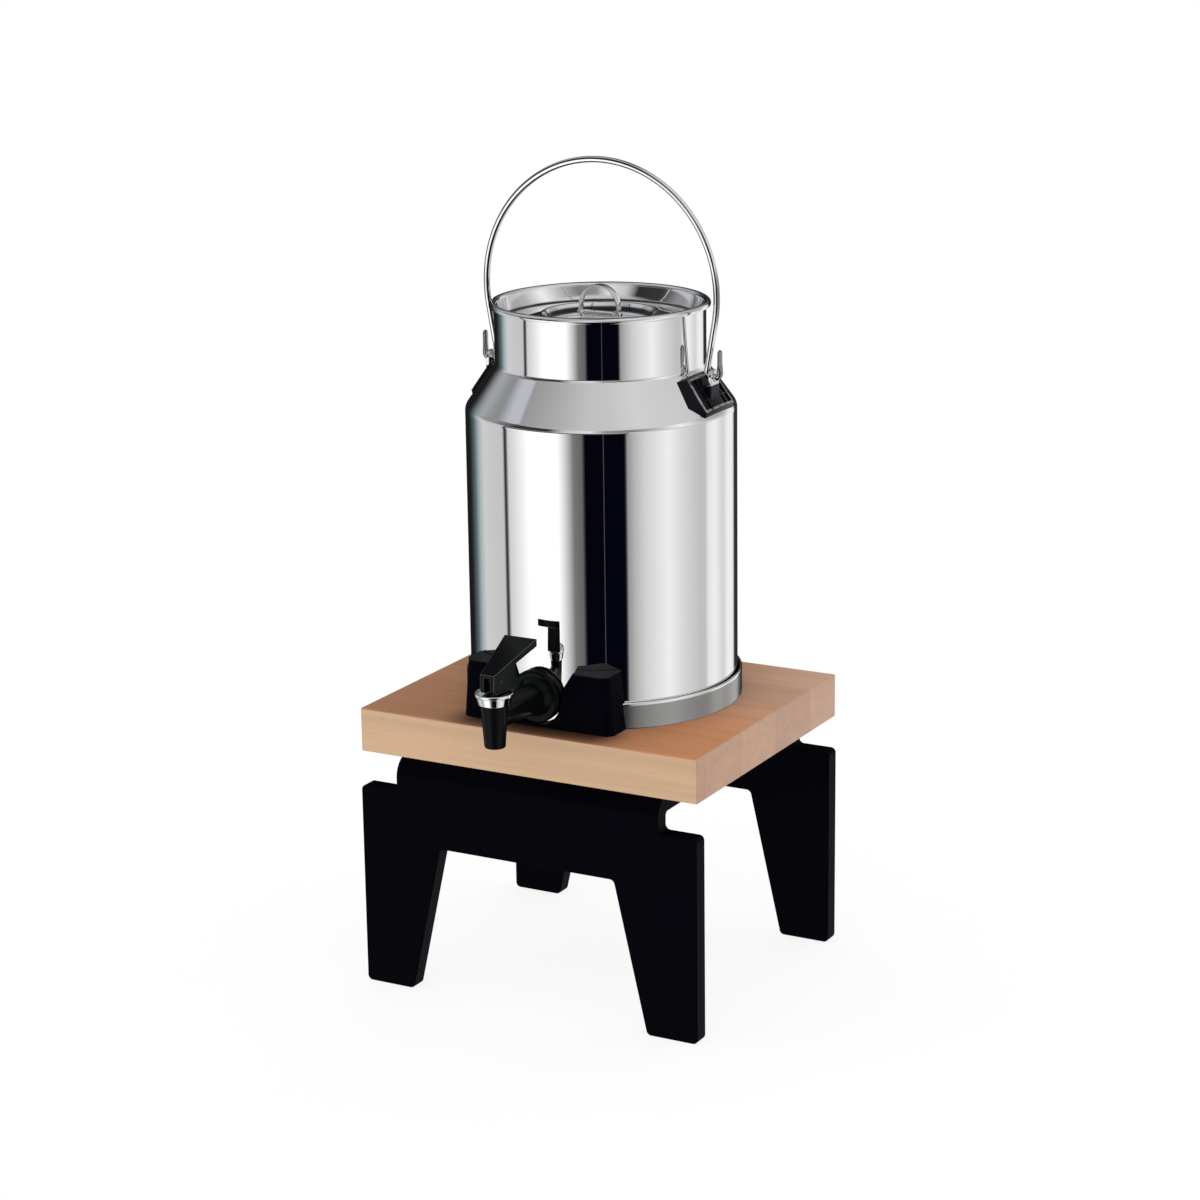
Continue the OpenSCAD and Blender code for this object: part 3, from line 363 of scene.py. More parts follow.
def quads(rows, cols, wrap_rows, wrap_cols):
    """Faces of a grid of points, joined end to end where it wraps."""
    r = np.arange(rows if wrap_rows else rows - 1)[:, None]
    c = np.arange(cols if wrap_cols else cols - 1)[None, :]
    after, beside = (r + 1) % rows, (c + 1) % cols
    faces = np.stack([r * cols + c, r * cols + beside, after * cols + beside, after * cols + c], axis=-1)
    return faces.reshape(-1, 4).tolist()


def surface(grid, wrap_rows=False, wrap_cols=True, caps=()):
    """Points and faces of a grid, with a face across each row that caps names."""
    rows, cols = grid.shape[:2]
    index = np.arange(rows * cols).reshape(rows, cols)
    faces = quads(rows, cols, wrap_rows, wrap_cols) + [index[row].tolist() for row in caps]
    return grid.reshape(-1, 3), faces


def lathe(profile, mid, axis="Z", start=0.0, sweep=360.0, steps=256, closed=True):
    """A profile of radius and height, turned about an axis through mid.

    A point goes to mid plus radius times cosine and sine in the plane across the axis, plus its
    height along the axis. A part turn is closed by its two end sections. A profile that isn't closed
    starts on the axis, and its ends aren't joined.
    """
    full = sweep >= 360
    a = np.radians(start + sweep * np.linspace(0, 1, steps + (not full), endpoint=not full))[:, None]
    r, h = profile.T
    u, v = r * np.cos(a), r * np.sin(a)
    grid = {"X": spots(h, u, v), "Y": spots(v, h, u), "Z": spots(u, v, h)}[axis] + np.asarray(mid)
    return surface(grid, full, closed, () if full else BOTH_ENDS)


def tube(path, across, section_a, section_b):
    """A section carried along a flat path, closed at both ends.

    Each point is the path plus a times the fixed direction across the path's plane plus b times the
    normal in that plane, where a and b are the section's rows along the path.
    """
    along = unit(np.gradient(path, axis=0))
    side = np.broadcast_to(np.asarray(across, dtype=float), path.shape)
    normal = np.cross(along, side)
    grid = path[:, None] + section_a[..., None] * side[:, None] + section_b[..., None] * normal[:, None]
    return surface(grid, caps=BOTH_ENDS)


def eased_block(box, r, count=5):
    """Box with round edges: an eighth of a ball of radius r about each corner of a smaller box.

    The points run round the plan in four quarter turns, and up the side in two.
    """
    half = (box.high - box.low) / 2 - r
    quarter = np.linspace(0, 90, count)
    a = np.radians(np.concatenate([quarter + 90 * k for k in range(4)]))
    b = np.radians(np.concatenate([quarter - 90, quarter]))[:, None]
    x = half[0] * np.repeat([1, -1, -1, 1], count) + r * np.cos(b) * np.cos(a)
    y = half[1] * np.repeat([1, 1, -1, -1], count) + r * np.cos(b) * np.sin(a)
    z = half[2] * np.repeat([-1, 1], count)[:, None] + r * np.sin(b)
    return surface(spots(x, y, z) + box.mid, caps=BOTH_ENDS)


def bow_of(s):
    """Radius of the bail's bow and the height of its middle: it touches both leaning legs and the top."""
    top = BAIL.high[2] - s.wire_r
    c, k, t = math.cos(s.lean), math.sin(s.lean), math.tan(s.lean)
    foot_x = EYE.low[0] - s.hook_gap - s.hook_r * c
    foot_z = EYE_Z + s.hook_r * (1 + k)
    bow_r = (foot_x + (top - foot_z) * t) / (c + t * (1 + k))
    return bow_r, top - bow_r


def cone_of(s):
    """Slope of the can's shoulder from the upright."""
    return math.atan2(CAN_R - s.neck_r, s.neck_z - s.shoulder_z)


def mirrored(part):
    """The same points and faces on the other side of X = 0."""
    points, faces = part
    return points * [-1, 1, 1], faces


def piece(name, parts, body, nodes, slot, made_of=None, sharp=35.0, bevel=0.0, painted_highlight=None):
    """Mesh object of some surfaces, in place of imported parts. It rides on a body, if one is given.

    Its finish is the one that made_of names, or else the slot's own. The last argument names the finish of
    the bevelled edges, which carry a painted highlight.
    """
    points, faces, first = [], [], 0
    for p, f in parts:
        points.append(p)
        faces += [[i + first for i in face] for face in f]
        first += len(p)
    mesh = bpy.data.meshes.new(name)
    mesh.from_pydata(np.concatenate(points), [], faces)
    bm = bmesh.new()
    bm.from_mesh(mesh)
    bmesh.ops.remove_doubles(bm, verts=bm.verts, dist=1e-6)
    bmesh.ops.recalc_face_normals(bm, faces=bm.faces)
    bm.to_mesh(mesh)
    bm.free()
    mesh.polygons.foreach_set("use_smooth", np.ones(len(mesh.polygons), dtype=bool))
    mesh.set_sharp_from_angle(angle=math.radians(sharp))
    mesh.materials.append(material(made_of or slot))
    obj = bpy.data.objects.new(name, mesh)
    bpy.context.scene.collection.objects.link(obj)
    if bevel:
        edge = obj.modifiers.new("edges", "BEVEL")
        edge.width = bevel
        edge.segments = 3
        edge.limit_method = "ANGLE"
        edge.angle_limit = math.radians(sharp)
        edge.harden_normals = True
        # Painted highlight: the bevelled edges get a lighter finish of their own.
        if painted_highlight:
            mesh.materials.append(material(painted_highlight))
            edge.material = 1
    if body:
        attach(obj, body)
    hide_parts(*nodes)
    return obj


# Finishes

class Term:
    """A shader socket that takes part in sums: each operator adds a Math node."""

    def __init__(self, paint, socket):
        self.paint = paint
        self.socket = socket

    def maths(self, operation, first, second=0.0):
        return self.paint.add("ShaderNodeMath", {"operation": operation}, {0: first, 1: second})

    def __abs__(self):
        return self.maths("ABSOLUTE", self)

    def __add__(self, other):
        return self.maths("ADD", self, other)

    def __sub__(self, other):
        return self.maths("SUBTRACT", self, other)

    def __rsub__(self, other):
        return self.maths("SUBTRACT", other, self)

    def __mul__(self, other):
        return self.maths("MULTIPLY", self, other)

    def __truediv__(self, other):
        return self.maths("DIVIDE", self, other)

    def __rtruediv__(self, other):
        return self.maths("DIVIDE", other, self)

    def __pow__(self, other):
        return self.maths("POWER", self, other)

    def __rpow__(self, other):
        return self.maths("POWER", other, self)

    __radd__ = __add__
    __rmul__ = __mul__


class Paint:
    """A node tree with short ways to add nodes."""

    def __init__(self, tree):
        self.tree = tree

    def put(self, socket, value):
        """Links a term to a socket, or sets the socket's own value."""
        if isinstance(value, Term):
            self.tree.links.new(value.socket, socket)
        else:
            socket.default_value = value

    def add(self, kind, settings=None, inputs=None, out=0):
        """Adds a node: its settings first, then its sockets. Gives one of its outputs."""
        node = self.tree.nodes.new(kind)
        for name, value in (settings or {}).items():
            if name == "stops":
                self.set_stops(node.color_ramp.elements, value)
            else:
                setattr(node, name, value)
        for key, value in (inputs or {}).items():
            self.put(node.inputs[key], value)
        return Term(self, node.outputs[out])

    @staticmethod
    def set_stops(elements, stops):
        """Stops of a ramp as pairs of a place and a colour or a grey."""
        while len(elements) < len(stops):
            elements.new(1.0)
        for element, (place, shade) in zip(elements, stops):
            element.position = place
            element.color = opaque(shade if isinstance(shade, tuple) else (shade, shade, shade))

    def ramp(self, value, stops):
        """Colour along a ramp."""
        return self.add("ShaderNodeValToRGB", {"stops": stops}, {0: value})

    def span(self, value, low, high, to_low=0.0, to_high=1.0):
        """A value carried smoothly from one range to another and held at its ends."""
        return self.add(
            "ShaderNodeMapRange", {"interpolation_type": "SMOOTHSTEP"},
            {0: value, 1: low, 2: high, 3: to_low, 4: to_high},
        )

    def over(self, value, mid, blur=0.0005):
        """0 below a middle and 1 above it, with a soft border."""
        return self.span(value, mid - blur, mid + blur)

    def within(self, value, mid, near, far, most=1.0):
        """The most where a value is near its middle, and 0 where it is far from it."""
        return self.span(abs(value - mid), near, far, most, 0.0)

    def mix(self, factor, first, second):
        """Mix of two colours."""
        return self.add(
            "ShaderNodeMix", {"data_type": "RGBA"}, {0: factor, 6: opaque(first), 7: opaque(second)}, 2
        )

    def tones(self, factor, c, dark, light):
        """A colour between a darker and a lighter tone of itself."""
        return self.mix(factor, shades(c, dark), shades(c, light))

    def scaled(self, c, factor):
        """A colour times a factor."""
        return self.add("ShaderNodeVectorMath", {"operation": "SCALE"}, {"Vector": c, "Scale": factor})

    def axes(self, source="Object"):
        """The three coordinates of a place."""
        spot = self.add("ShaderNodeTexCoord", out=source)
        node = self.add("ShaderNodeSeparateXYZ", None, {0: spot}).socket.node
        return [Term(self, out) for out in node.outputs]

    def away(self, mid_y):
        """Distance from the upright line at X = 0 and Y = mid_y."""
        x, y, _ = self.axes()
        return (x * x + (y - mid_y) * (y - mid_y)) ** 0.5

    def noise(self, scale, detail=2, stretch=(1, 1, 1), rough=0.5, twist=0.0):
        """Smooth noise about one half, in object coordinates that are stretched first."""
        spot = self.add("ShaderNodeTexCoord", out="Object")
        vector = self.add("ShaderNodeMapping", None, {"Vector": spot, "Scale": stretch})
        return self.add(
            "ShaderNodeTexNoise", None,
            {"Vector": vector, "Scale": scale, "Detail": detail, "Roughness": rough, "Distortion": twist},
        )

    def bump(self, height, strength, distance=0.0001):
        """Normal of a height in the surface."""
        return self.add(
            "ShaderNodeBump", None, {"Strength": strength, "Distance": distance, "Height": height}
        )


def opaque(value):
    """A colour as a socket wants it."""
    return value if isinstance(value, Term) else (*value, 1)


def shades(c, factor):
    """A colour made lighter or darker by a factor."""
    return tuple(min(1.0, v * factor) for v in c)


def finish(name, recipe, *settings):
    """Material whose shader takes the constants and terms that recipe(paint, *settings) gives."""
    made = bpy.data.materials.new(f"{name}_finish")
    made.use_nodes = True
    paint = Paint(made.node_tree)
    shader = made.node_tree.nodes["Principled BSDF"]
    for socket, value in recipe(paint, *settings).items():
        paint.put(shader.inputs[socket], value)
    return made


def material(name):
    """The finish of that name, made on first use."""
    made = bpy.data.materials.get(f"{name}_finish")
    return made or finish(name, *RECIPES[name](bpy.context.scene.finishes))


def polished_sheet(paint, steel, rough, wave):
    """Mirror-polished sheet: faint wipe marks in the gloss and a slow wave in the surface."""
    cloud = paint.noise(16, 3, (1, 1, 0.6))
    wipe = paint.noise(1, 2, (40, 40, 900))
    slow = paint.noise(9, 1, (1, 1, 0.25))
    return {
        "Metallic": 1.0,
        "Base Color": paint.tones(cloud, steel, 0.97, 1.03),
        "Roughness": rough + 0.03 * cloud * wipe,
        "Normal": paint.bump(slow, wave, 0.001),
    }


def creased_sheet(paint, steel):
    """Polished sheet with painted shade: a dark ring painted in each of the lid's two ring-shaped creases."""
    s = bpy.context.scene.lid_sizes
    away, cloud = paint.away(CAN_Y), paint.noise(40, 3)
    tone = paint.tones(cloud, steel, 0.95, 1.03)
    # Painted shade: each crease is painted a near-black ring, with wandering edges.
    for r, half in ((s.recess_shade_r, s.recess_shade_w), (s.gutter_shade_r, s.gutter_shade_w)):
        off = abs(away - r) + s.shade_wander * cloud
        tone = paint.mix(paint.span(off, 0.6 * half, 1.2 * half, 1.0, 0.0), tone, shades(steel, 0.04))
    return {
        "Metallic": 1.0,
        "Base Color": tone,
        "Roughness": 0.03 + 0.03 * cloud,
        "Normal": paint.bump(cloud, 0.02, 0.001),
    }


def satin_sheet(paint, steel):
    """Satin steel: fine streaks round the ring, and a polished lip."""
    streak, cloud = paint.noise(1, 4, (14, 14, 1500), 0.65), paint.noise(22)
    lip_z = RING.high[2] - 2 * bpy.context.scene.stand_sizes.ring_lip_r
    lip = paint.over(paint.axes()[2], lip_z, 0.0004)
    return {
        "Metallic": 1.0,
        "Base Color": paint.mix(lip, paint.tones(streak, steel, 0.86, 1.12), shades(steel, 2.7)),
        "Roughness": (0.13 + 0.12 * streak + 0.05 * cloud) * (1.0 - 0.7 * lip),
        "Normal": paint.bump(streak, 0.08),
    }


def wire_metal(paint, steel, rough):
    """Drawn steel: faint lines along the wire and small wear marks."""
    line = paint.noise(1, 3, (300, 300, 40))
    return {
        "Metallic": 1.0,
        "Base Color": paint.tones(paint.noise(60), steel, 0.93, 1.04),
        "Roughness": rough + 0.05 * line,
        "Normal": paint.bump(line, 0.05, 0.00005),
    }


# Painted reflections: angle round the wire and half width of each dark line along the bail.
PAINTED_REFLECTION_LINES = ((math.radians(-44), 0.30), (math.radians(31), 0.22))  # angle and half width of each


def drawn_wire(paint, steel):
    """Bright drawn steel with painted reflections: two dark lines along the bail, and dark tails.

    The angle round the wire comes from the distance to the bail's line, in its plane and across it. On
    the bow that line is a circle, and below the bow it is the circle's tangent.
    """
    s = bpy.context.scene.bail_sizes
    bow_r, bow_z = bow_of(s)
    c, k = math.cos(s.lean), math.sin(s.lean)
    x, y, z = paint.axes()
    side, up = abs(x), z - bow_z
    round_bow = (side * side + up * up) ** 0.5
    on_bow = paint.over(up * c + side * k, 0.0)
    along_leg = side * c - up * k
    out = along_leg + (round_bow - along_leg) * on_bow - bow_r
    turn = out.maths("ARCTAN2", out, CAN_Y - y)
    cloud = paint.noise(60)
    tone = paint.tones(cloud, steel, 0.97, 1.03)
    # Each line is a painted reflection: a dark colour at one angle round the wire.
    for line, half in PAINTED_REFLECTION_LINES:
        tone = paint.mix(paint.within(turn, line, 0.5 * half, half), tone, (0.01, 0.01, 0.012))
    # Painted reflection: the tails beyond the eyes are painted dark.
    tail = paint.span(side, EYE.high[0], EYE.high[0] + s.hook_r, 0.0, 0.8)
    return {
        "Metallic": 1.0,
        "Base Color": paint.mix(tail, tone, shades(steel, 0.1)),
        "Roughness": 0.012 + 0.015 * cloud,
    }


def footed_metal(paint, steel, coat):
    """Polished steel on a foot with a black coat, which ends at one height."""
    bare = paint.over(paint.axes()[2], EYE_Z - bpy.context.scene.can_sizes.eye_coat_drop)
    cloud = paint.noise(60)
    return {
        "IOR": 1.2,
        "Base Color": paint.mix(bare, coat, paint.tones(cloud, steel, 0.93, 1.04)),
        "Metallic": bare,
        "Roughness": 0.1 + 0.1 * cloud,
    }


def dark_coat(paint, tone, rough, ior, grain, depth, top=None, lit_top_tone=None):
    """Black lacquer or moulding: a fine peel in the surface and slow changes of gloss.

    Where the height of its top is given, the faces up there are painted lighter, as painted light from above.
    """
    peel, cloud = paint.noise(grain), paint.noise(30)
    base = paint.tones(cloud, tone, 0.8, 1.25)
    # Painted light: faces near the top take a lighter tone.
    if top:
        base = paint.mix(paint.over(paint.axes()[2], top - 0.0009), base, lit_top_tone)
    return {
        "IOR": ior,
        "Base Color": base,
        "Roughness": rough + 0.08 * cloud + 0.04 * peel,
        "Normal": paint.bump(peel, depth),
    }


def rimmed_coat(paint, tone, bare):
    """Black lacquer on the shoulder's cone, with patches of bright metal on the raised rim as a painted highlight.

    The height over the cone is the distance from the axis, less the cone's radius there, times the
    cosine of its slope.
    """
    s = bpy.context.scene.can_sizes
    slope = cone_of(s)
    cone = s.neck_r + (s.neck_z - paint.axes()[2]) * math.tan(slope)
    rise = (paint.away(CAN_Y) - cone) * math.cos(slope)
    peel, tone_and_glint = paint.noise(900), paint.noise(160)
    # Painted highlight: patches of the rim's top are made bright metal.
    painted_highlight = paint.over(rise, s.ear_t + s.ear_rim_h - 0.0002, 0.0001) * paint.span(tone_and_glint, 0.3, 0.6)
    return {
        "IOR": 1.2,
        "Base Color": paint.mix(painted_highlight, paint.tones(tone_and_glint, tone, 0.8, 1.3), bare),
        "Roughness": 0.16 + 0.08 * tone_and_glint + 0.1 * painted_highlight,
        "Metallic": 0.8 * painted_highlight,
        "Normal": paint.bump(peel, 0.04),
    }


def soft_part(paint, tone, rough, spread):
    """Plain rubber or plastic: cloudy tone and a dull, slightly uneven surface."""
    cloud = paint.noise(180, 3)
    return {
        "Base Color": paint.tones(cloud, tone, 1 - spread, 1 + spread),
        "Roughness": rough + 0.1 * cloud,
        "Normal": paint.bump(paint.noise(1400), 0.1),
    }


def beech(paint, f):
    """Beech board: fine grain along X with short dark flecks, glued from staves across Y.

    The upper face is the warmest and the long edges are the palest: these tones are painted light, lit
    and shaded copies of one wood. The ends show pinkish end grain, with painted light in their tone too.
    The upper face is painted lighter and warmer to the right and paler at the back right, as painted
    light. A painted shadow darkens the face in front of the bracket, over a distance of about near.
    """
    near = 0.02
    staves_per_metre = 19.0
    top, end, edge = BOARD.high[2], BOARD.high[0], bpy.context.scene.stand_sizes.board_edge_r
    front, half = BRACKET.low[1], BRACKET.high[0]
    x, y, z = paint.axes()
    grain = paint.noise(1, 5, (5, 90, 160), 0.6, 0.25)
    fine = paint.noise(1, 3, (26, 700, 1100), 0.7)
    fleck = paint.span(paint.noise(1, 1, (70, 900, 900)), 0.66, 0.74)
    cloud = paint.noise(1, 2, (4, 12, 12))
    row = y * staves_per_metre + 0.35
    stave = paint.add(
        "ShaderNodeTexWhiteNoise", {"noise_dimensions": "1D"}, {"W": row.maths("FLOOR", row)}
    )
    seam = 1.0 - paint.span(row.maths("PINGPONG", row, 0.5), 0.0, 0.03)
    on_top = paint.span(z, top - edge, top - edge / 3)
    on_end = paint.span(abs(x), end - edge, end - edge / 3)
    # Painted light: the upper face gets lighter and warmer to the right and paler at the back right.
    side = paint.mix(paint.span(y, -2 * near, 4.5 * near), f.beech_lit_right, f.beech_lit_far)
    face = paint.mix(paint.span(x, near, end), f.beech_face, side)
    # Painted shadow: the upper face darkens in front of the bracket, between its sides.
    beside = paint.span(abs(x), half - 0.7 * near, half + 0.8 * near, 1.0, 0.0)
    before = paint.span(y, BOARD.low[1] - near, front + 0.2 * near)
    behind = paint.span(y, front + 0.1 * near, front + near, 1.0, 0.0)
    painted_shadow = 0.94 * on_top * beside * before * behind
    # Edge and face tones are painted light, lit and shaded copies of one wood; the painted shadow goes over them.
    tone = paint.mix(painted_shadow, paint.mix(on_top, f.beech_edge, face), shades(f.beech_face, 0.05))
    light = 0.62 + 0.34 * grain + 0.26 * cloud + 0.12 * stave + 0.12 * fine - 0.07 * fleck - 0.08 * seam
    return {
        "Specular IOR Level": 0.3,
        "Base Color": paint.scaled(paint.mix(on_end, tone, f.beech_end), light),
        "Roughness": 0.50 + 0.12 * grain,
        "Normal": paint.bump(fine, 0.12, 0.0002),
    }


def pale_floor(paint, r):
    """Matt floor that glows like the backdrop, and fades out towards its radius."""
    return {
        "Roughness": 0.9,
        "Specular IOR Level": 0.0,
        "Emission Color": (1, 1, 1, 1),
        "Emission Strength": 0.85,
        "Alpha": paint.span(paint.away(0.0), 0.35 * r, 0.95 * r, 1.0, 0.0),
        "Base Color": paint.mix(paint.noise(3), (0.16, 0.16, 0.16), (0.18, 0.18, 0.18)),
    }


RECIPES = {
    "beech": lambda f: (beech, f),
    "black_lacquer": lambda f: (dark_coat, f.lacquer, 0.34, 1.07, 700, 0.05),
    "black_bracket": lambda f: (dark_coat, f.bracket, 0.4, 1.07, 2400, 0.1, BRACKET.high[2], f.bracket_lit_top),
    "black_tap": lambda f: (dark_coat, f.tap, 0.16, 1.18, 1500, 0.03),
    # Painted highlight on the lever's edges.
    "tap_edge": lambda f: (dark_coat, f.tap_edge, 0.25, 1.5, 1500, 0.03),
    # The ear's second colour is the bright metal of the painted highlight on its rim.
    "black_ear": lambda f: (rimmed_coat, f.ear, shades(f.wire, 0.55)),
    "mirror_steel": lambda f: (polished_sheet, f.steel, 0.006, 0.05),
    "chrome_ring": lambda f: (polished_sheet, f.steel, 0.03, 0.02),
    "lid_steel": lambda f: (creased_sheet, f.steel),
    "satin_steel": lambda f: (satin_sheet, f.satin),
    "bail_steel": lambda f: (drawn_wire, shades(f.wire, 1.38)),
    "strap_steel": lambda f: (wire_metal, shades(f.wire, 1.38), 0.2),
    "zinc_screw": lambda f: (wire_metal, f.zinc, 0.3),
    "eye_steel": lambda f: (footed_metal, shades(f.wire, 1.2), shades(f.ear, 2)),
    "gasket_rubber": lambda f: (soft_part, f.rubber, 0.75, 0.12),
    "nut_plastic": lambda f: (soft_part, f.nut, 0.45, 0.05),
    "silicone": lambda f: (soft_part, f.silicone, 0.4, 0.05),
    "stem_plastic": lambda f: (soft_part, f.stem, 0.3, 0.2),
}


# Operators

class Maker:
    """What the operators share: each of them can be undone."""
    bl_options = {"REGISTER", "UNDO"}


class MakeBoard(Maker, Operator):
    """Board with eased edges"""
    bl_idname = "milk.board"
    bl_label = "Board"

    def execute(self, context):
        block = eased_block(BOARD, context.scene.stand_sizes.board_edge_r)
        board = piece("board", [block], "stand", ["wood_board"], "beech")
        board.visible_glossy = False
        return DONE


class MakeLegs(Maker, Operator):
    """Two bent plates with two legs each"""
    bl_idname = "milk.legs"
    bl_label = "Leg frames"

    def execute(self, context):
        s = context.scene.stand_sizes
        for node, name, inward in (("front_leg_frame", "front_legs", 1), ("rear_leg_frame", "rear_legs", -1)):
            box = Box(node)
            outer, end = (box.low[1], box.high[1])[::inward]
            parts = [self.plate(s, box, outer, inward), self.bend(s, box, outer, end, inward)]
            piece(name, parts, "stand", [node], "black_lacquer", bevel=s.leg_edge_r)
        return DONE

    @staticmethod
    def plate(s, box, outer, inward):
        """Legs and apron: an outline in X and Z, carried along Y, open at the top where the bend starts."""
        half, top = box.high[0], box.high[2]
        neck, shoulder = half - s.neck_inset, top - s.shoulder_drop
        points = [
            (neck, top - s.bend_r - s.leg_t), (neck, shoulder), (half, shoulder), (half, 0),
            (half - s.foot_w, 0), (half - s.leg_top_w, top - s.apron_drop),
        ]
        points += [(-x, z) for x, z in points[::-1]]
        outline = rounded(points, [0] + [s.corner_r] * (len(points) - 2) + [0])
        y = outer + inward * np.array([[0], [s.leg_t]])
        return surface(spots(outline[:, 0], y, outline[:, 1]), wrap_cols=False, caps=BOTH_ENDS)

    @staticmethod
    def bend(s, box, outer, end, inward):
        """Quarter turn of the plate's section about the bend's axis, and a flat flange to its end."""
        r, neck = s.bend_r + s.leg_t, box.high[0] - s.neck_inset
        turn = np.radians(np.linspace(0, 90, 13))[:, None]
        depth = np.array([r, s.bend_r, s.bend_r, r])
        y = outer + inward * (r - depth * np.cos(turn))
        z = box.high[2] - r + depth * np.sin(turn)
        y, z = np.concatenate([y, np.full((1, 4), end)]), np.concatenate([z, z[-1:]])
        return surface(spots(np.array([neck, neck, -neck, -neck]), y, z), caps=(-1,))


class MakeRing(Maker, Operator):
    """Foot ring with a rolled lip, open at the front"""
    bl_idname = "milk.ring"
    bl_label = "Foot ring"

    def execute(self, context):
        s = context.scene.stand_sizes
        r, low, wall, lip = RING.high[0], RING.low[2], s.ring_wall, s.ring_lip_r
        lip_z, inner = RING.high[2] - lip, r - s.ring_floor_w
        # A floor and a wall of sheet with a round bead, turned about the can's axis except at the mouth
        section = rounded(
            [(inner, low), (r, low), (r, lip_z), (r - wall, lip_z), (r - wall, low + wall),
             (inner, low + wall)],
            [0, wall / 2, 0, 0, wall / 2, 0],
        )
        bead = arc((r - lip, lip_z), lip, -90, 270, 25)[:-1]
        open_half = math.degrees(math.asin(s.ring_mouth_w / 2 / r))
        start, sweep = -90 + open_half, 360 - 2 * open_half
        parts = [lathe(p, CAN_AXIS, start=start, sweep=sweep, steps=220) for p in (section, bead)]
        piece("foot_ring_sheet", parts, "stand", ["foot_ring"], "satin_steel")
        return DONE


class MakeBracket(Maker, Operator):
    """Saddle in front of the can with a notch for the tap's flange"""
    bl_idname = "milk.bracket"
    bl_label = "Front bracket"

    def execute(self, context):
        s = context.scene.stand_sizes
        half = self.half(s)
        piece(
            "saddle", [half, mirrored(half)], "stand", ["front_bracket"], "black_bracket", sharp=30,
            bevel=s.bracket_edge_r,
        )
        return DONE

    @staticmethod
    def half(s):
        """Right half: rows of points from the notch to the outer side, in front and on the can's curve.

        At each height the front runs straight from the notch and then round its corner, and the back
        lies on a circle about the can's axis.
        """
        low, high, r = BRACKET.low, BRACKET.high, s.bracket_corner_r
        notch = FLANGE.high[0] + s.notch_gap
        if TAP_Z - notch <= low[2]:
            raise ValueError("the notch reaches below the bracket's foot")
        turn = np.radians(np.linspace(0, 90, 25))
        z = np.concatenate([
            [low[2]], TAP_Z - notch * np.cos(turn), [TAP_Z + s.notch_straight_h, high[2]],
        ])[:, None]
        inner = np.concatenate([[0], notch * np.sin(turn), [notch, s.notch_mouth_w / 2]])[:, None]
        side = np.interp(z, [low[2], high[2]], [high[0], s.bracket_top_w / 2]) - r
        flat = np.linspace(0, 1, 16)
        bend = np.radians(np.linspace(0, 90, 11))[1:]
        x = np.concatenate([inner + (side - inner) * flat, side + r * np.sin(bend)], axis=1)
        front = low[1] + np.concatenate([0 * flat, r * (1 - np.cos(bend))])
        back = np.minimum(CAN_Y - np.sqrt((CAN_R + s.bracket_gap) ** 2 - x ** 2), high[1])
        faces = quads(*x.shape, False, False)
        faces += [[i + x.size for i in f] for f in faces]
        index = np.arange(x.size).reshape(x.shape)
        for rim in (index[0], index[-1], index[:, -1], index[1:, 0]):
            faces += np.stack([rim[:-1], rim[1:], rim[1:] + x.size, rim[:-1] + x.size], axis=1).tolist()
        return np.concatenate([spots(x, y, z).reshape(-1, 3) for y in (front, back)]), faces


class MakeCan(Maker, Operator):
    """Polished can: body, shoulder, neck and rolled bead"""
    bl_idname = "milk.can"
    bl_label = "Can"

    def execute(self, context):
        s = context.scene.can_sizes
        bead_z = TOP.high[2] - s.bead_r
        # A sheet along the outer line, and a round bead on its rim, turned about the can's axis
        path = rounded(
            [(CAN_R, CAN.low[2]), (CAN_R, s.shoulder_z), (s.neck_r, s.neck_z), (s.neck_r, bead_z)],
            [0, s.shoulder_bend_r, s.neck_bend_r, 0], 17,
        )
        bead = arc((s.neck_r - s.wall + s.bead_r, bead_z), s.bead_r, 0, 360, 33)[:-1]
        parts = [lathe(sheet(path, s.wall), CAN_AXIS), lathe(bead, CAN_AXIS)]
        piece("can_shell", parts, "can", ["can_body", "can_top"], "mirror_steel")
        return DONE


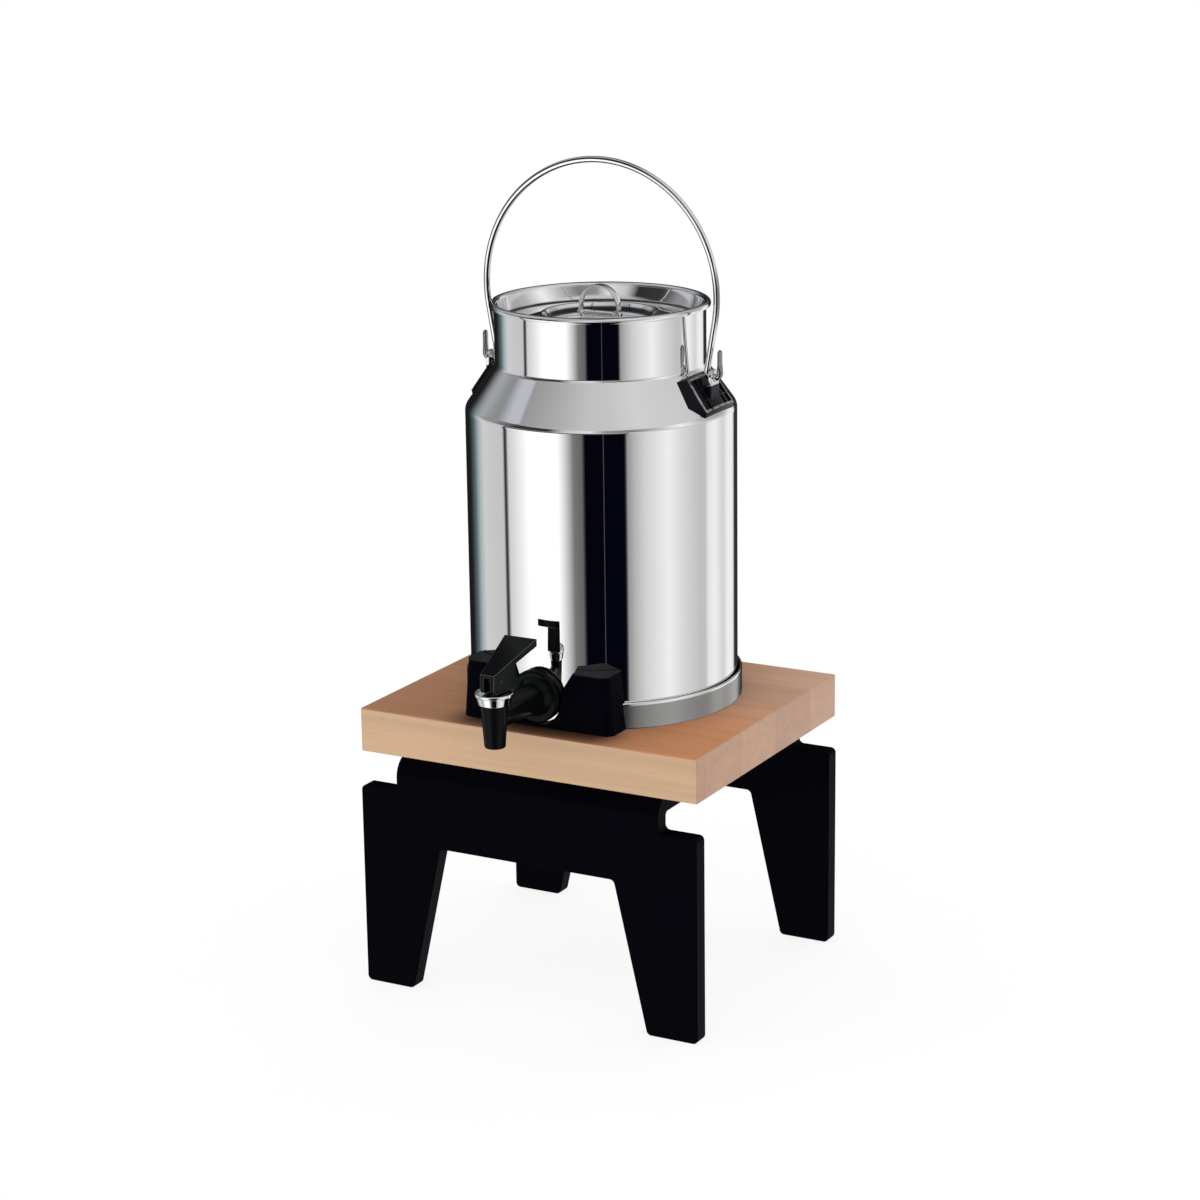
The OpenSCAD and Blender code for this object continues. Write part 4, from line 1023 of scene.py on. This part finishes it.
class MakeEars(Maker, Operator):
    """Ear plates on the shoulder with their upright eyes"""
    bl_idname = "milk.ears"
    bl_label = "Ears"

    wide_share = 0.64  # the widest place, as a share of the plate's length
    rib_shares = (0.36, 0.7)  # places of the ribs across the plate
    long_rib_share = 0.62  # place of the ribs down the plate, from its middle

    def execute(self, context):
        s = context.scene.can_sizes
        plate, eye = [self.plate(s), *self.ribs(s)], [self.eye(s)]
        for side in ("right", "left"):
            if side == "left":
                plate, eye = [mirrored(p) for p in plate], [mirrored(p) for p in eye]
            piece(
                f"ear_{side}", plate, "can", [f"ear_plate_{side}"], "black_ear", sharp=25, bevel=s.ear_edge_r
            )
            piece(
                f"eye_{side}", eye, "can", [f"ear_eye_{side}"], "eye_steel", sharp=40, bevel=s.eye_wall / 5
            )
        return DONE

    @staticmethod
    def on_cone(s, down, across, t):
        """Point of the shoulder's cone, pushed out by t, that lies over a place in its tangent plane.

        With A the cone's radius at that place and c and k the cosine and sine of its slope, the height
        h over the plane solves (A + h c)^2 + across^2 = (A + t / c - h k^2 / c)^2.
        """
        slope = cone_of(s)
        c, k = math.cos(slope), math.sin(slope)
        a_r = s.neck_r + down * k
        out_r = a_r + t / c
        qa = (c * c - k * k) / (c * c)
        qb = 2 * a_r * c + 2 * out_r * k * k / c
        qc = a_r ** 2 + across ** 2 - out_r ** 2
        h = (-qb + np.sqrt(qb ** 2 - 4 * qa * qc)) / (2 * qa)
        return spots(a_r + h * c, CAN_Y + across, s.neck_z - down * c + h * k)

    def plate(self, s):
        """Rings of points from the middle of the underside over the flank and the rim to the floor."""
        wide = s.ear_l * self.wide_share
        top = s.ear_t + s.ear_rim_h

        def ring(half, t, shrink=1.0):
            corners = np.array(half + [(d, -y) for d, y in half[::-1]])
            ends = np.roll(corners, -1, axis=0)
            u = np.linspace(0, 1, 10, endpoint=False)[None, :, None]
            line = (corners[:, None] + (ends - corners)[:, None] * u).reshape(-1, 2)
            mid = np.array([s.ear_l / 2, 0])
            line = mid + (line - mid) * shrink
            return self.on_cone(s, s.ear_gap + line[:, 0], line[:, 1], t)

        def rim(inset):
            high, low = s.ear_bevel + inset, s.ear_l - s.ear_bevel - inset
            width = np.interp(wide, [high, low], [s.rim_top_w, s.rim_foot_w])
            places = ((high, s.rim_top_w), (wide, width), (low, s.rim_foot_w))
            return [(d, w / 2 - inset) for d, w in places]

        base = [(0, s.ear_top_w / 2), (wide, s.ear_wide_w / 2), (s.ear_l, s.ear_foot_w / 2)]
        inside = rim(s.ear_rim_w)
        rows = [ring(base, 0.0, share) for share in (0.0, 0.35, 0.7, 1.0)]
        rows += [ring(base, s.ear_foot_h), ring(rim(0), top), ring(inside, top)]
        rows += [ring(inside, s.ear_t, share) for share in (1.0, 0.75, 0.5, 0.25, 0.0)]
        return surface(np.stack(rows))

    def ribs(self, s):
        """Low ribs on the floor within the rim: bars between two places in the tangent plane."""
        across = s.rim_top_w / 2 - s.ear_rim_w
        inset = s.ear_bevel + s.ear_rim_w
        high, low = s.ear_gap + inset, s.ear_gap + s.ear_l - inset
        places = [high + (low - high) * share for share in self.rib_shares]
        lines = [[(d, -across), (d, across)] for d in places]
        lines += [[(high, y), (low, y)] for y in across * self.long_rib_share * np.array([-1, 1])]
        return [self.rib(s, *np.array(line)) for line in lines]

    def rib(self, s, start, end):
        """Bar of square section from start to end, which follows the cone."""
        along = unit(end - start)
        side = np.array([-along[1], along[0]]) * s.rib_w / 2
        line = np.linspace(start, end, 16)
        foot, top = s.ear_t - s.rib_sink, s.ear_t + s.rib_h
        columns = [
            self.on_cone(s, *(line + sign * side).T, t)
            for sign, t in ((-1, foot), (1, foot), (1, top), (-1, top))
        ]
        return surface(np.stack(columns, axis=1), caps=BOTH_ENDS)

    @staticmethod
    def eye(s):
        """Plate round a hole: at each angle from the hole to the edge of a round head on a wide foot."""
        a = np.radians(np.linspace(0, 360, 96, endpoint=False))
        head = s.eye_r + s.eye_wall
        drop = EYE_Z - EYE.low[2]
        least = 1e-6
        lean = (s.eye_foot_w / 2 - head) / drop
        side = head / np.maximum(np.abs(np.cos(a)) + lean * np.sin(a), least)
        foot = drop / np.maximum(-np.sin(a), least)
        edge = np.where(np.sin(a) < 0, np.maximum(head, np.minimum(foot, side)), head)
        inner, outer = EYE.low[0], EYE.high[0]
        rows = [
            spots(x, CAN_Y + r * np.cos(a), EYE_Z + r * np.sin(a))
            for r, x in ((s.eye_r, inner), (edge, inner), (edge, outer), (s.eye_r, outer))
        ]
        return surface(np.stack(rows), wrap_rows=True)


class MakeTap(Maker, Operator):
    """Tap: flange, arm, barrel, the bright bonnet ring and the seat cup"""
    bl_idname = "milk.tap"
    bl_label = "Tap"

    def execute(self, context):
        s = context.scene.tap_sizes
        sharp = 28.0
        piece("tap_rosette", [self.flange(s)], "can", ["tap_flange"], "black_tap", sharp=sharp)
        piece("tap_moulding", [self.arm(s), self.barrel(s)], "can", ["tap_body"], "black_tap", sharp=sharp)
        piece("bonnet", [self.bonnet(s)], "can", ["bonnet_ring"], "chrome_ring", sharp=sharp)
        cup = piece("cup", [self.cup(s)], None, ["seat_cup"], "silicone", sharp=sharp)
        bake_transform(cup)
        return DONE

    @staticmethod
    def cup(s):
        """Plug, sleeve and flange, turned about the upright, with many rows along the sleeve."""
        low, high, rim, bore = CUP.low[2], CUP.high[2], CUP.high[0], s.cup_bore_r
        foot, neck, floor = low + 2 * s.plug_h, high - s.cup_t, low + s.plug_h
        plug = [(0, low), (s.plug_r, low), (s.plug_r, floor)]
        outer = np.linspace((bore + s.cup_t, foot), (bore + s.cup_t, neck), 16)
        flange = [(rim, neck), (rim, high), (bore, high)]
        inner = np.linspace((bore, neck), (bore, foot), 16)[1:]
        profile = np.concatenate([plug, outer, flange, inner, [(bore, floor), (0, floor)]])
        return lathe(profile, SPOUT_AXIS, steps=48, closed=False)

    @staticmethod
    def flange(s):
        """Rim with a round edge, a step and a conical hub, turned about the tap's axis."""
        back, front = FLANGE.high[1], FLANGE.low[1]
        r, t, bore = FLANGE.high[0], s.flange_t, s.arm_back_r * 0.7
        profile = rounded(
            [(bore, 0), (r, 0), (r, -t), (s.hub_r, -t), (s.arm_back_r, front - back), (bore, front - back)],
            [0, s.edge_r, t * 0.42, s.hub_edge_r, s.hub_edge_r, 0],
        )
        return lathe(profile, (0, back, TAP_Z), axis="Y", steps=160)

    @staticmethod
    def arm(s):
        """Cone from the hub into the barrel, with the shank behind it, turned about the tap's axis."""
        front, back, step = FLANGE.low[1], TAP.high[1], s.arm_back_r / 20
        profile = np.array([
            (0, SPOUT_Y), (s.arm_front_r, SPOUT_Y), (s.arm_back_r, front), (s.shank_r, front + step),
            (s.shank_r, back), (s.bore_r, back), (s.bore_r, front), (0, front),
        ])
        return lathe(profile, (0, 0, TAP_Z), axis="Y", steps=128, closed=False)

    @staticmethod
    def barrel(s):
        """Tapered spout with a rounded tip and its outlet, turned about the upright."""
        low, neck, top = TAP.low[2], BONNET.low[2], BONNET.low[2] + s.bonnet_t
        seat = low + s.outlet_h
        profile = rounded(
            [(0, seat), (s.outlet_r, seat), (s.outlet_r, low), (s.tip_r, low), (s.barrel_r, neck),
             (s.barrel_r, top), (0, top)],
            [0, 0, s.edge_r, s.tip_edge_r, 0, 0, 0],
        )
        return lathe(profile, SPOUT_AXIS, steps=128, closed=False)

    @staticmethod
    def bonnet(s):
        """Ring with a rolled lip over a tapered band, turned about the upright."""
        low, top, r, t = BONNET.low[2], BONNET.high[2], BONNET.high[0], s.bonnet_t
        small = t * 4 / 15
        outer = rounded(
            [(s.barrel_r, low), (s.bonnet_foot_r, low), (r - 0.35 * t, top - 1.5 * t), (r, top - 1.2 * t),
             (r, top), (r - t, top), (r - 1.6 * t, top - 0.4 * t), (s.stem_bore_r, top - 0.4 * t)],
            [0, t / 3, t / 5, small, 0.45 * t, small, small, 0],
        )
        inner = [(s.stem_bore_r, top - t), (s.barrel_r, top - t)]
        return lathe(np.concatenate([outer, inner]), SPOUT_AXIS, steps=160)


class MakeLever(Maker, Operator):
    """Lever with a slotted fork and a flared paddle"""
    bl_idname = "milk.lever"
    bl_label = "Lever"

    def execute(self, context):
        s = context.scene.lever_sizes
        # The lever's bevelled edges carry a painted highlight.
        piece(
            "lever_moulding", self.parts(s), "lever", ["lever"], "black_tap", sharp=25, bevel=s.edge_r,
            painted_highlight="tap_edge",
        )
        return DONE

    def parts(self, s):
        """Fork and body: a lower and an upper line in Y and Z from the pin, on both sides of the lever.

        Half the width grows evenly from the toe to the paddle's end. The fork's slot ends at a roof, and
        the room round the stem's head ends at a back wall.
        """
        foot = LEVER.low[2] - LEVER_Z
        toe_l, paddle_l = SPOUT_Y - LEVER.low[1], LEVER.high[1] - SPOUT_Y
        paddle_h = LEVER.high[2] - LEVER_Z
        half, slot = s.fork_w / 2, s.slot_w / 2
        flare = (LEVER.high[0] - half) / (paddle_l + toe_l)
        rise = (paddle_h - s.brow_h) / (paddle_l + s.brow_l)

        def upper(y):
            return np.stack([y, s.brow_h + (y + s.brow_l) * rise], axis=1)

        def sides(low, high):
            wide_low, wide_high = (half + flare * (line[:, 0] + toe_l) for line in (low, high))
            return [(-wide_low, low), (-wide_high, high), (wide_high, high), (wide_low, low)]

        toe = arc((-toe_l + s.toe_r, foot + s.toe_r), s.toe_r, 180, 270, 7)
        low = np.concatenate([toe, [(s.room_r, foot)]])
        high = upper(np.append(np.linspace(-s.brow_l, -s.brow_l / 2, len(toe)), s.room_r))
        roof = low + (high - low) * (s.room_r - low[:, 1:]) / (high[:, 1:] - low[:, 1:])
        inside = [(slot, low), (slot, roof), (-slot, roof), (-slot, low)]
        points, faces = surface(self.carried(sides(low, high) + inside), caps=(0,))
        back_wall = list(range(len(points) - len(inside), len(points)))
        low = np.array([
            (s.room_r, foot), (s.heel_l, foot), (s.kink_l, s.kink_h), (paddle_l, paddle_h - s.paddle_t),
        ])
        high = upper(np.array([s.room_r, (s.room_r + s.kink_l) / 2, s.kink_l, paddle_l]))
        body = self.carried(sides(low, high) + [(slot, low), (-slot, low)])
        return [(points, faces + [back_wall]), surface(body, caps=(-1,))]

    @staticmethod
    def carried(corners):
        """Grid of a section's corners carried along the lever: each has its X and its line in Y and Z."""
        columns = [spots(x, line[:, 0], line[:, 1]) for x, line in corners]
        return np.stack(columns, axis=1) + [0, SPOUT_Y, LEVER_Z]


class MakeBail(Maker, Operator):
    """Bail: one bent wire with hooked ends and flattened tails"""
    bl_idname = "milk.bail"
    bl_label = "Bail"

    def execute(self, context):
        wire = self.wire(context.scene.bail_sizes)
        piece("bail_wire", [wire], "bail", ["bail"], "wire_steel", "bail_steel", 50)
        return DONE

    @staticmethod
    def wire(s):
        """Ellipse carried along bow, leaning legs, hooks and tails. It gets wide and thin along the tails."""
        hook_x, tail_x = EYE.low[0] - s.hook_gap, EYE.high[0] + s.hook_gap + s.hook_r
        lean, hook_z = math.degrees(s.lean), EYE_Z + s.hook_r
        bow_r, bow_z = bow_of(s)
        bow = arc((0, bow_z), bow_r, 90, -lean, 60)
        hook = arc((hook_x, hook_z), s.hook_r, 180 - lean, 270, 12)
        leg = np.linspace(bow[-1], hook[0], 16)[1:-1]
        rise = arc((tail_x - s.hook_r, hook_z), s.hook_r, 270, 360, 12)
        tail = np.linspace((tail_x, hook_z), (tail_x, EYE_Z + s.tail_l), 22)[1:]
        half = np.concatenate([bow, leg, hook, rise, tail])
        x, z = np.concatenate([half[::-1] * [-1, 1], half[1:]]).T
        on_tail = np.abs(x) > tail_x - 1e-6
        flat = np.clip((z - EYE_Z - 1.2 * s.hook_r) / s.tail_press, 0, 1)
        flat = np.where(on_tail, flat * flat * (3 - 2 * flat), 0)
        end = np.clip((EYE_Z + s.tail_l - z) / (s.tail_w / 2), 0, 1)
        end = np.where(on_tail, np.sqrt(1 - (1 - end) ** 2), 1)
        wide = (s.wire_r + (s.tail_w / 2 - s.wire_r) * flat) * np.maximum(end, 0.05)
        thick = (s.wire_r + (s.tail_t / 2 - s.wire_r) * flat) * np.maximum(end ** 0.5, 0.2)
        a = np.linspace(0, TURN, 24, endpoint=False)
        path = spots(x, CAN_Y, z)
        return tube(path, (0, 1, 0), wide[:, None] * np.cos(a), thick[:, None] * np.sin(a))


class MakeLid(Maker, Operator):
    """Pressed lid with a rolled lip and a sunken middle"""
    bl_idname = "milk.lid"
    bl_label = "Lid"

    def execute(self, context):
        s = context.scene.lid_sizes
        r, lip_z = LID.high[0] - s.lip_r, LID.high[2] - s.lip_r
        gutter = lip_z - s.gutter_drop
        floor = gutter + s.floor_rise
        # A sheet along the recess, the floor and the wall and round the lip, turned about the can's axis
        path = rounded(
            [(0, floor - s.recess_h), (s.recess_r - s.recess_draft, floor - s.recess_h),
             (s.recess_r, floor), (s.gutter_r, gutter), (r - s.lip_r, lip_z)],
            [0, s.recess_foot_r, s.recess_rim_r, s.gutter_bend_r, 0],
        )
        lip = arc((r, lip_z), s.lip_r, 180, -15, 25)[1:]
        section = sheet(np.concatenate([path, lip]), -s.sheet_t)
        piece("lid_sheet", [lathe(section, CAN_AXIS, closed=False)], "lid", ["lid"], "lid_steel", sharp=40)
        return DONE


class MakeHandle(Maker, Operator):
    """Arched strap on the lid with its clip and hinge pin"""
    bl_idname = "milk.handle"
    bl_label = "Lid handle"

    def execute(self, context):
        s = context.scene.lid_sizes
        look = {"made_of": "strap_steel", "sharp": 30}
        piece("strap", [self.strap(s)], "lid_handle", ["lid_handle"], "wire_steel", **look)
        piece("clip", [self.clip(s)], "lid", ["handle_clip"], "lid_steel", bevel=s.clip_edge_r, **look)
        piece("hinge_pin", [self.pin(s)], "lid", ["handle_pin"], "wire_steel", **look)
        return DONE

    @staticmethod
    def strap(s):
        """Flat bar with eased edges along two uprights and a half circle, with round feet on the hinge."""
        half_w = (HANDLE.high[1] - HANDLE.low[1]) / 2
        r = HANDLE.high[0] - s.strap_t / 2
        spring = HANDLE.high[2] - HANDLE.high[0]
        up = np.linspace((r, HANDLE.low[2]), (r, spring), 24)
        bow = arc((0, spring), r, 0, 180, 49)[1:-1]
        x, z = np.concatenate([up, bow, up[::-1] * [-1, 1]]).T
        below = np.clip((HINGE_Z - z) / half_w, 0, 1)
        wide = half_w * np.sqrt(np.maximum(1 - below ** 2, 0.01))[:, None]
        cut = np.array([(0, 1), (0.3, 0.3), (1, 0)]) * s.strap_t * 0.3
        insets = np.concatenate([cut, cut[::-1], cut, cut[::-1]])
        signs = np.repeat([(1, -1), (-1, -1), (-1, 1), (1, 1)], len(cut), axis=0)
        a = (wide - insets[:, 0]) * signs[:, 0]
        b = (s.strap_t / 2 - insets[:, 1]) * signs[:, 1] + 0 * wide
        return tube(spots(x, CAN_Y, z), (0, 1, 0), a, b)

    @staticmethod
    def clip(s):
        """Foot and rolled barrel: one outline in Y and Z, carried along X."""
        low, high = CLIP.low[2], CLIP.low[2] + s.clip_t
        foot, r = (CLIP.high[1] - CLIP.low[1]) / 2, CLIP.high[2] - HINGE_Z
        neck = 1.15 * r
        barrel = arc((0, HINGE_Z), r, -30, 210, 33)
        y, z = np.array([
            (-foot, low), (foot, low), (foot, high), (neck, high), *barrel, (-neck, high), (-foot, high),
        ]).T
        return surface(spots(np.array([[CLIP.low[0]], [CLIP.high[0]]]), CAN_Y + y, z), caps=BOTH_ENDS)

    @staticmethod
    def pin(s):
        """Pin with a domed head at each end, turned about the hinge."""
        r, end = (HINGE.high[2] - HINGE.low[2]) / 2, HINGE.high[0]
        head = rounded(
            [(s.pin_r, end - s.head_t), (r, end - s.head_t), (r, end), (0, end)], [0, 0, s.head_edge_r, 0]
        )
        profile = np.concatenate([head[::-1] * [1, -1], head])
        return lathe(profile, (0, CAN_Y, HINGE_Z), axis="X", steps=48, closed=False)


class FinishFittings(Maker, Operator):
    """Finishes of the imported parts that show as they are"""
    bl_idname = "milk.fittings"
    bl_label = "Fittings"

    def execute(self, context):
        slots = {p["node"]: p["material_slot"] for p in frame["record"]["subparts"]}
        for node, obj in frame["nodes"].items():
            if not obj.hide_render:
                obj.data.materials.clear()
                obj.data.materials.append(material(slots[node]))
        return DONE


class SetStage(Maker, Operator):
    """Pale floor, soft studio light and the camera"""
    bl_idname = "milk.stage"
    bl_label = "Stage"

    def execute(self, context):
        scene = context.scene
        scene.view_settings.view_transform = "Standard"
        self.camera(scene, scene.stage_settings)
        self.studio(scene, scene.stage_settings)
        self.floor(scene, scene.stage_settings)
        return DONE

    @staticmethod
    def camera(scene, s):
        """Camera on a sphere about its target, turned about its own line of sight by the roll."""
        turn = Matrix.Rotation(s.azimuth, 3, "Z")
        back = turn @ Vector((0, -math.cos(s.elevation), math.sin(s.elevation)))
        right = turn @ Vector((1, 0, 0))
        up = back.cross(right)
        side = math.cos(s.roll) * right + math.sin(s.roll) * up
        lift = math.cos(s.roll) * up - math.sin(s.roll) * right
        data = bpy.data.cameras.new("camera")
        data.lens = s.lens
        data.sensor_width = 36
        data.clip_end = 20
        obj = bpy.data.objects.new("camera", data)
        basis = Matrix((side, lift, back)).transposed()
        obj.matrix_world = Matrix.Translation(Vector(s.target) + back * s.distance) @ basis.to_4x4()
        scene.collection.objects.link(obj)
        scene.camera = obj

    def studio(self, scene, s):
        """World that polished surfaces, matt surfaces and the camera each see in their own way."""
        world = bpy.data.worlds.new("studio")
        world.use_nodes = True
        world.cycles.sampling_method = "NONE"
        scene.world = world
        paint = Paint(world.node_tree)
        x, y, z = paint.axes("Generated")
        facing = math.atan2(-math.cos(s.azimuth), math.sin(s.azimuth))
        turn = (x.maths("ARCTAN2", y, x) - facing + 3 * math.pi) / TURN
        gloss = self.gloss(paint, turn.maths("FRACT", turn), z)
        matt = paint.ramp(z * 0.5 + 0.5, [(0.0, 0.8), (0.45, 1.05), (0.7, 1.0), (1.0, 0.9)])
        path = "ShaderNodeLightPath"
        seen = paint.mix(paint.add(path, out="Is Diffuse Ray"), gloss, paint.scaled(matt, s.fill))
        seen = paint.mix(paint.add(path, out="Is Camera Ray"), seen, (s.backdrop, s.backdrop, s.backdrop))
        paint.put(world.node_tree.nodes["Background"].inputs["Color"], seen)

    @staticmethod
    def gloss(paint, place, z):
        """What polished surfaces see: white walls with a dark slot behind the camera, under a soft roof.

        The walls are bands of brightness by angle in degrees from the camera's own direction, to the right.
        place is that angle as a share of a turn, with the camera's direction at one half.
        """
        teal, pale_teal, navy = (0.10, 0.155, 0.17), (0.42, 0.48, 0.5), (0.0012, 0.0014, 0.005)
        sky, frame_tone, post_tone = (0.52, 0.55, 0.6), (0.02, 0.02, 0.02), (0.09, 0.09, 0.1)
        bands = (
            (-152, 0.012), (-146, 0.03), (-136, teal), (-127, pale_teal), (-119, 0.66), (-104, 0.62),
            (-92, 0.6), (-90, 0.04), (-87.5, 0.04), (-86.5, 0.66), (-74, 0.90), (-64, 1.15), (-38, 1.15),
            (-32, 0.75), (-24, 0.2), (-16, 0.13), (-15.2, navy), (19.6, navy), (20.4, 0.3), (27, 0.5),
            (36, 0.7), (57, 0.95), (72, 0.74), (90, 0.58), (97, 0.58), (101, 0.85), (110, 0.95), (124, 0.7),
            (134, 0.95), (146, 0.9), (152, 0.03),
        )
        wall = paint.ramp(place, [((degrees + 180) / 360, shade) for degrees, shade in bands])
        roof = paint.ramp(place, [
            (0.0, 0.05), (0.05, 0.12), (0.09, 0.34), (0.15, sky), (0.249, sky), (0.256, 0.34), (0.36, 0.46),
            (0.45, 0.58), (0.52, 0.6), (0.62, 0.7), (0.8, 0.62), (0.93, 0.3), (0.97, 0.1), (1.0, 0.05),
        ])
        upper = paint.ramp(place, [
            (0.0, 0.1), (0.2, 0.3), (0.28, 0.04), (0.37, 0.03), (0.41, 0.6), (0.47, 0.8), (0.51, 0.3),
            (0.57, 0.22), (0.63, 0.5), (0.7, 0.95), (0.77, 0.5), (1.0, 0.1),
        ])

        def between(value, low, low_end, high, high_end):
            """1 between two soft borders."""
            return paint.span(value, low, low_end) * paint.span(value, high, high_end, 1.0, 0.0)

        behind = paint.span(abs(place - 0.5) * 2.0, 0.62, 0.8)
        above = paint.span(z, 0.0, 0.025) * (1.0 - behind) + paint.span(z, 0.1, 0.45) * behind
        shelf = between(z, 0.14, 0.2, 0.5, 0.6) * (1.0 - behind)
        seen = paint.mix(shelf, paint.mix(above, wall, roof), upper)
        dark_frame = between(z, 0.015, 0.025, 0.11, 0.13) * between(place, 0.25, 0.252, 0.562, 0.564)
        seen = paint.mix(dark_frame, seen, frame_tone)
        post = paint.within(place, 0.5034, 0.0004, 0.0016, 0.7)
        return paint.mix(post * (1.0 - above), seen, post_tone)

    @staticmethod
    def floor(scene, s):
        """Round floor, opaque under the object and fading out to the white backdrop."""
        profile = np.linspace((0, -s.floor_drop), (s.floor_r, -s.floor_drop), 24)
        points, faces = lathe(profile, CAN_AXIS, steps=96, closed=False)
        mesh = bpy.data.meshes.new("floor")
        mesh.from_pydata(points, [], faces)
        obj = bpy.data.objects.new("floor", mesh)
        scene.collection.objects.link(obj)
        mesh.materials.append(finish("pale_floor", pale_floor, s.floor_r))
        obj.visible_glossy = False


OPERATORS = (
    MakeBoard, MakeLegs, MakeRing, MakeBracket, MakeCan, MakeEars, MakeTap, MakeLever, MakeBail, MakeLid,
    MakeHandle, FinishFittings, SetStage,
)


class DispenserPanel(Panel):
    """Lists the pieces of the milk dispenser"""
    bl_idname = "VIEW3D_PT_milk_dispenser"
    bl_label = "Milk dispenser"
    bl_space_type = "VIEW_3D"
    bl_region_type = "UI"
    bl_category = "Milk dispenser"

    def draw(self, context):
        for operator in OPERATORS:
            self.layout.operator(operator.bl_idname)


CLASSES = (*SETTINGS.values(), *OPERATORS, DispenserPanel)


def register():
    for cls in CLASSES:
        bpy.utils.register_class(cls)
    for name, cls in SETTINGS.items():
        setattr(bpy.types.Scene, name, PointerProperty(type=cls))


def unregister():
    for name in SETTINGS:
        delattr(bpy.types.Scene, name)
    for cls in reversed(CLASSES):
        bpy.utils.unregister_class(cls)


def main():
    register()
    for operator in OPERATORS:
        group, name = operator.bl_idname.split(".")
        getattr(getattr(bpy.ops, group), name)()


if __name__ == "__main__":
    main()
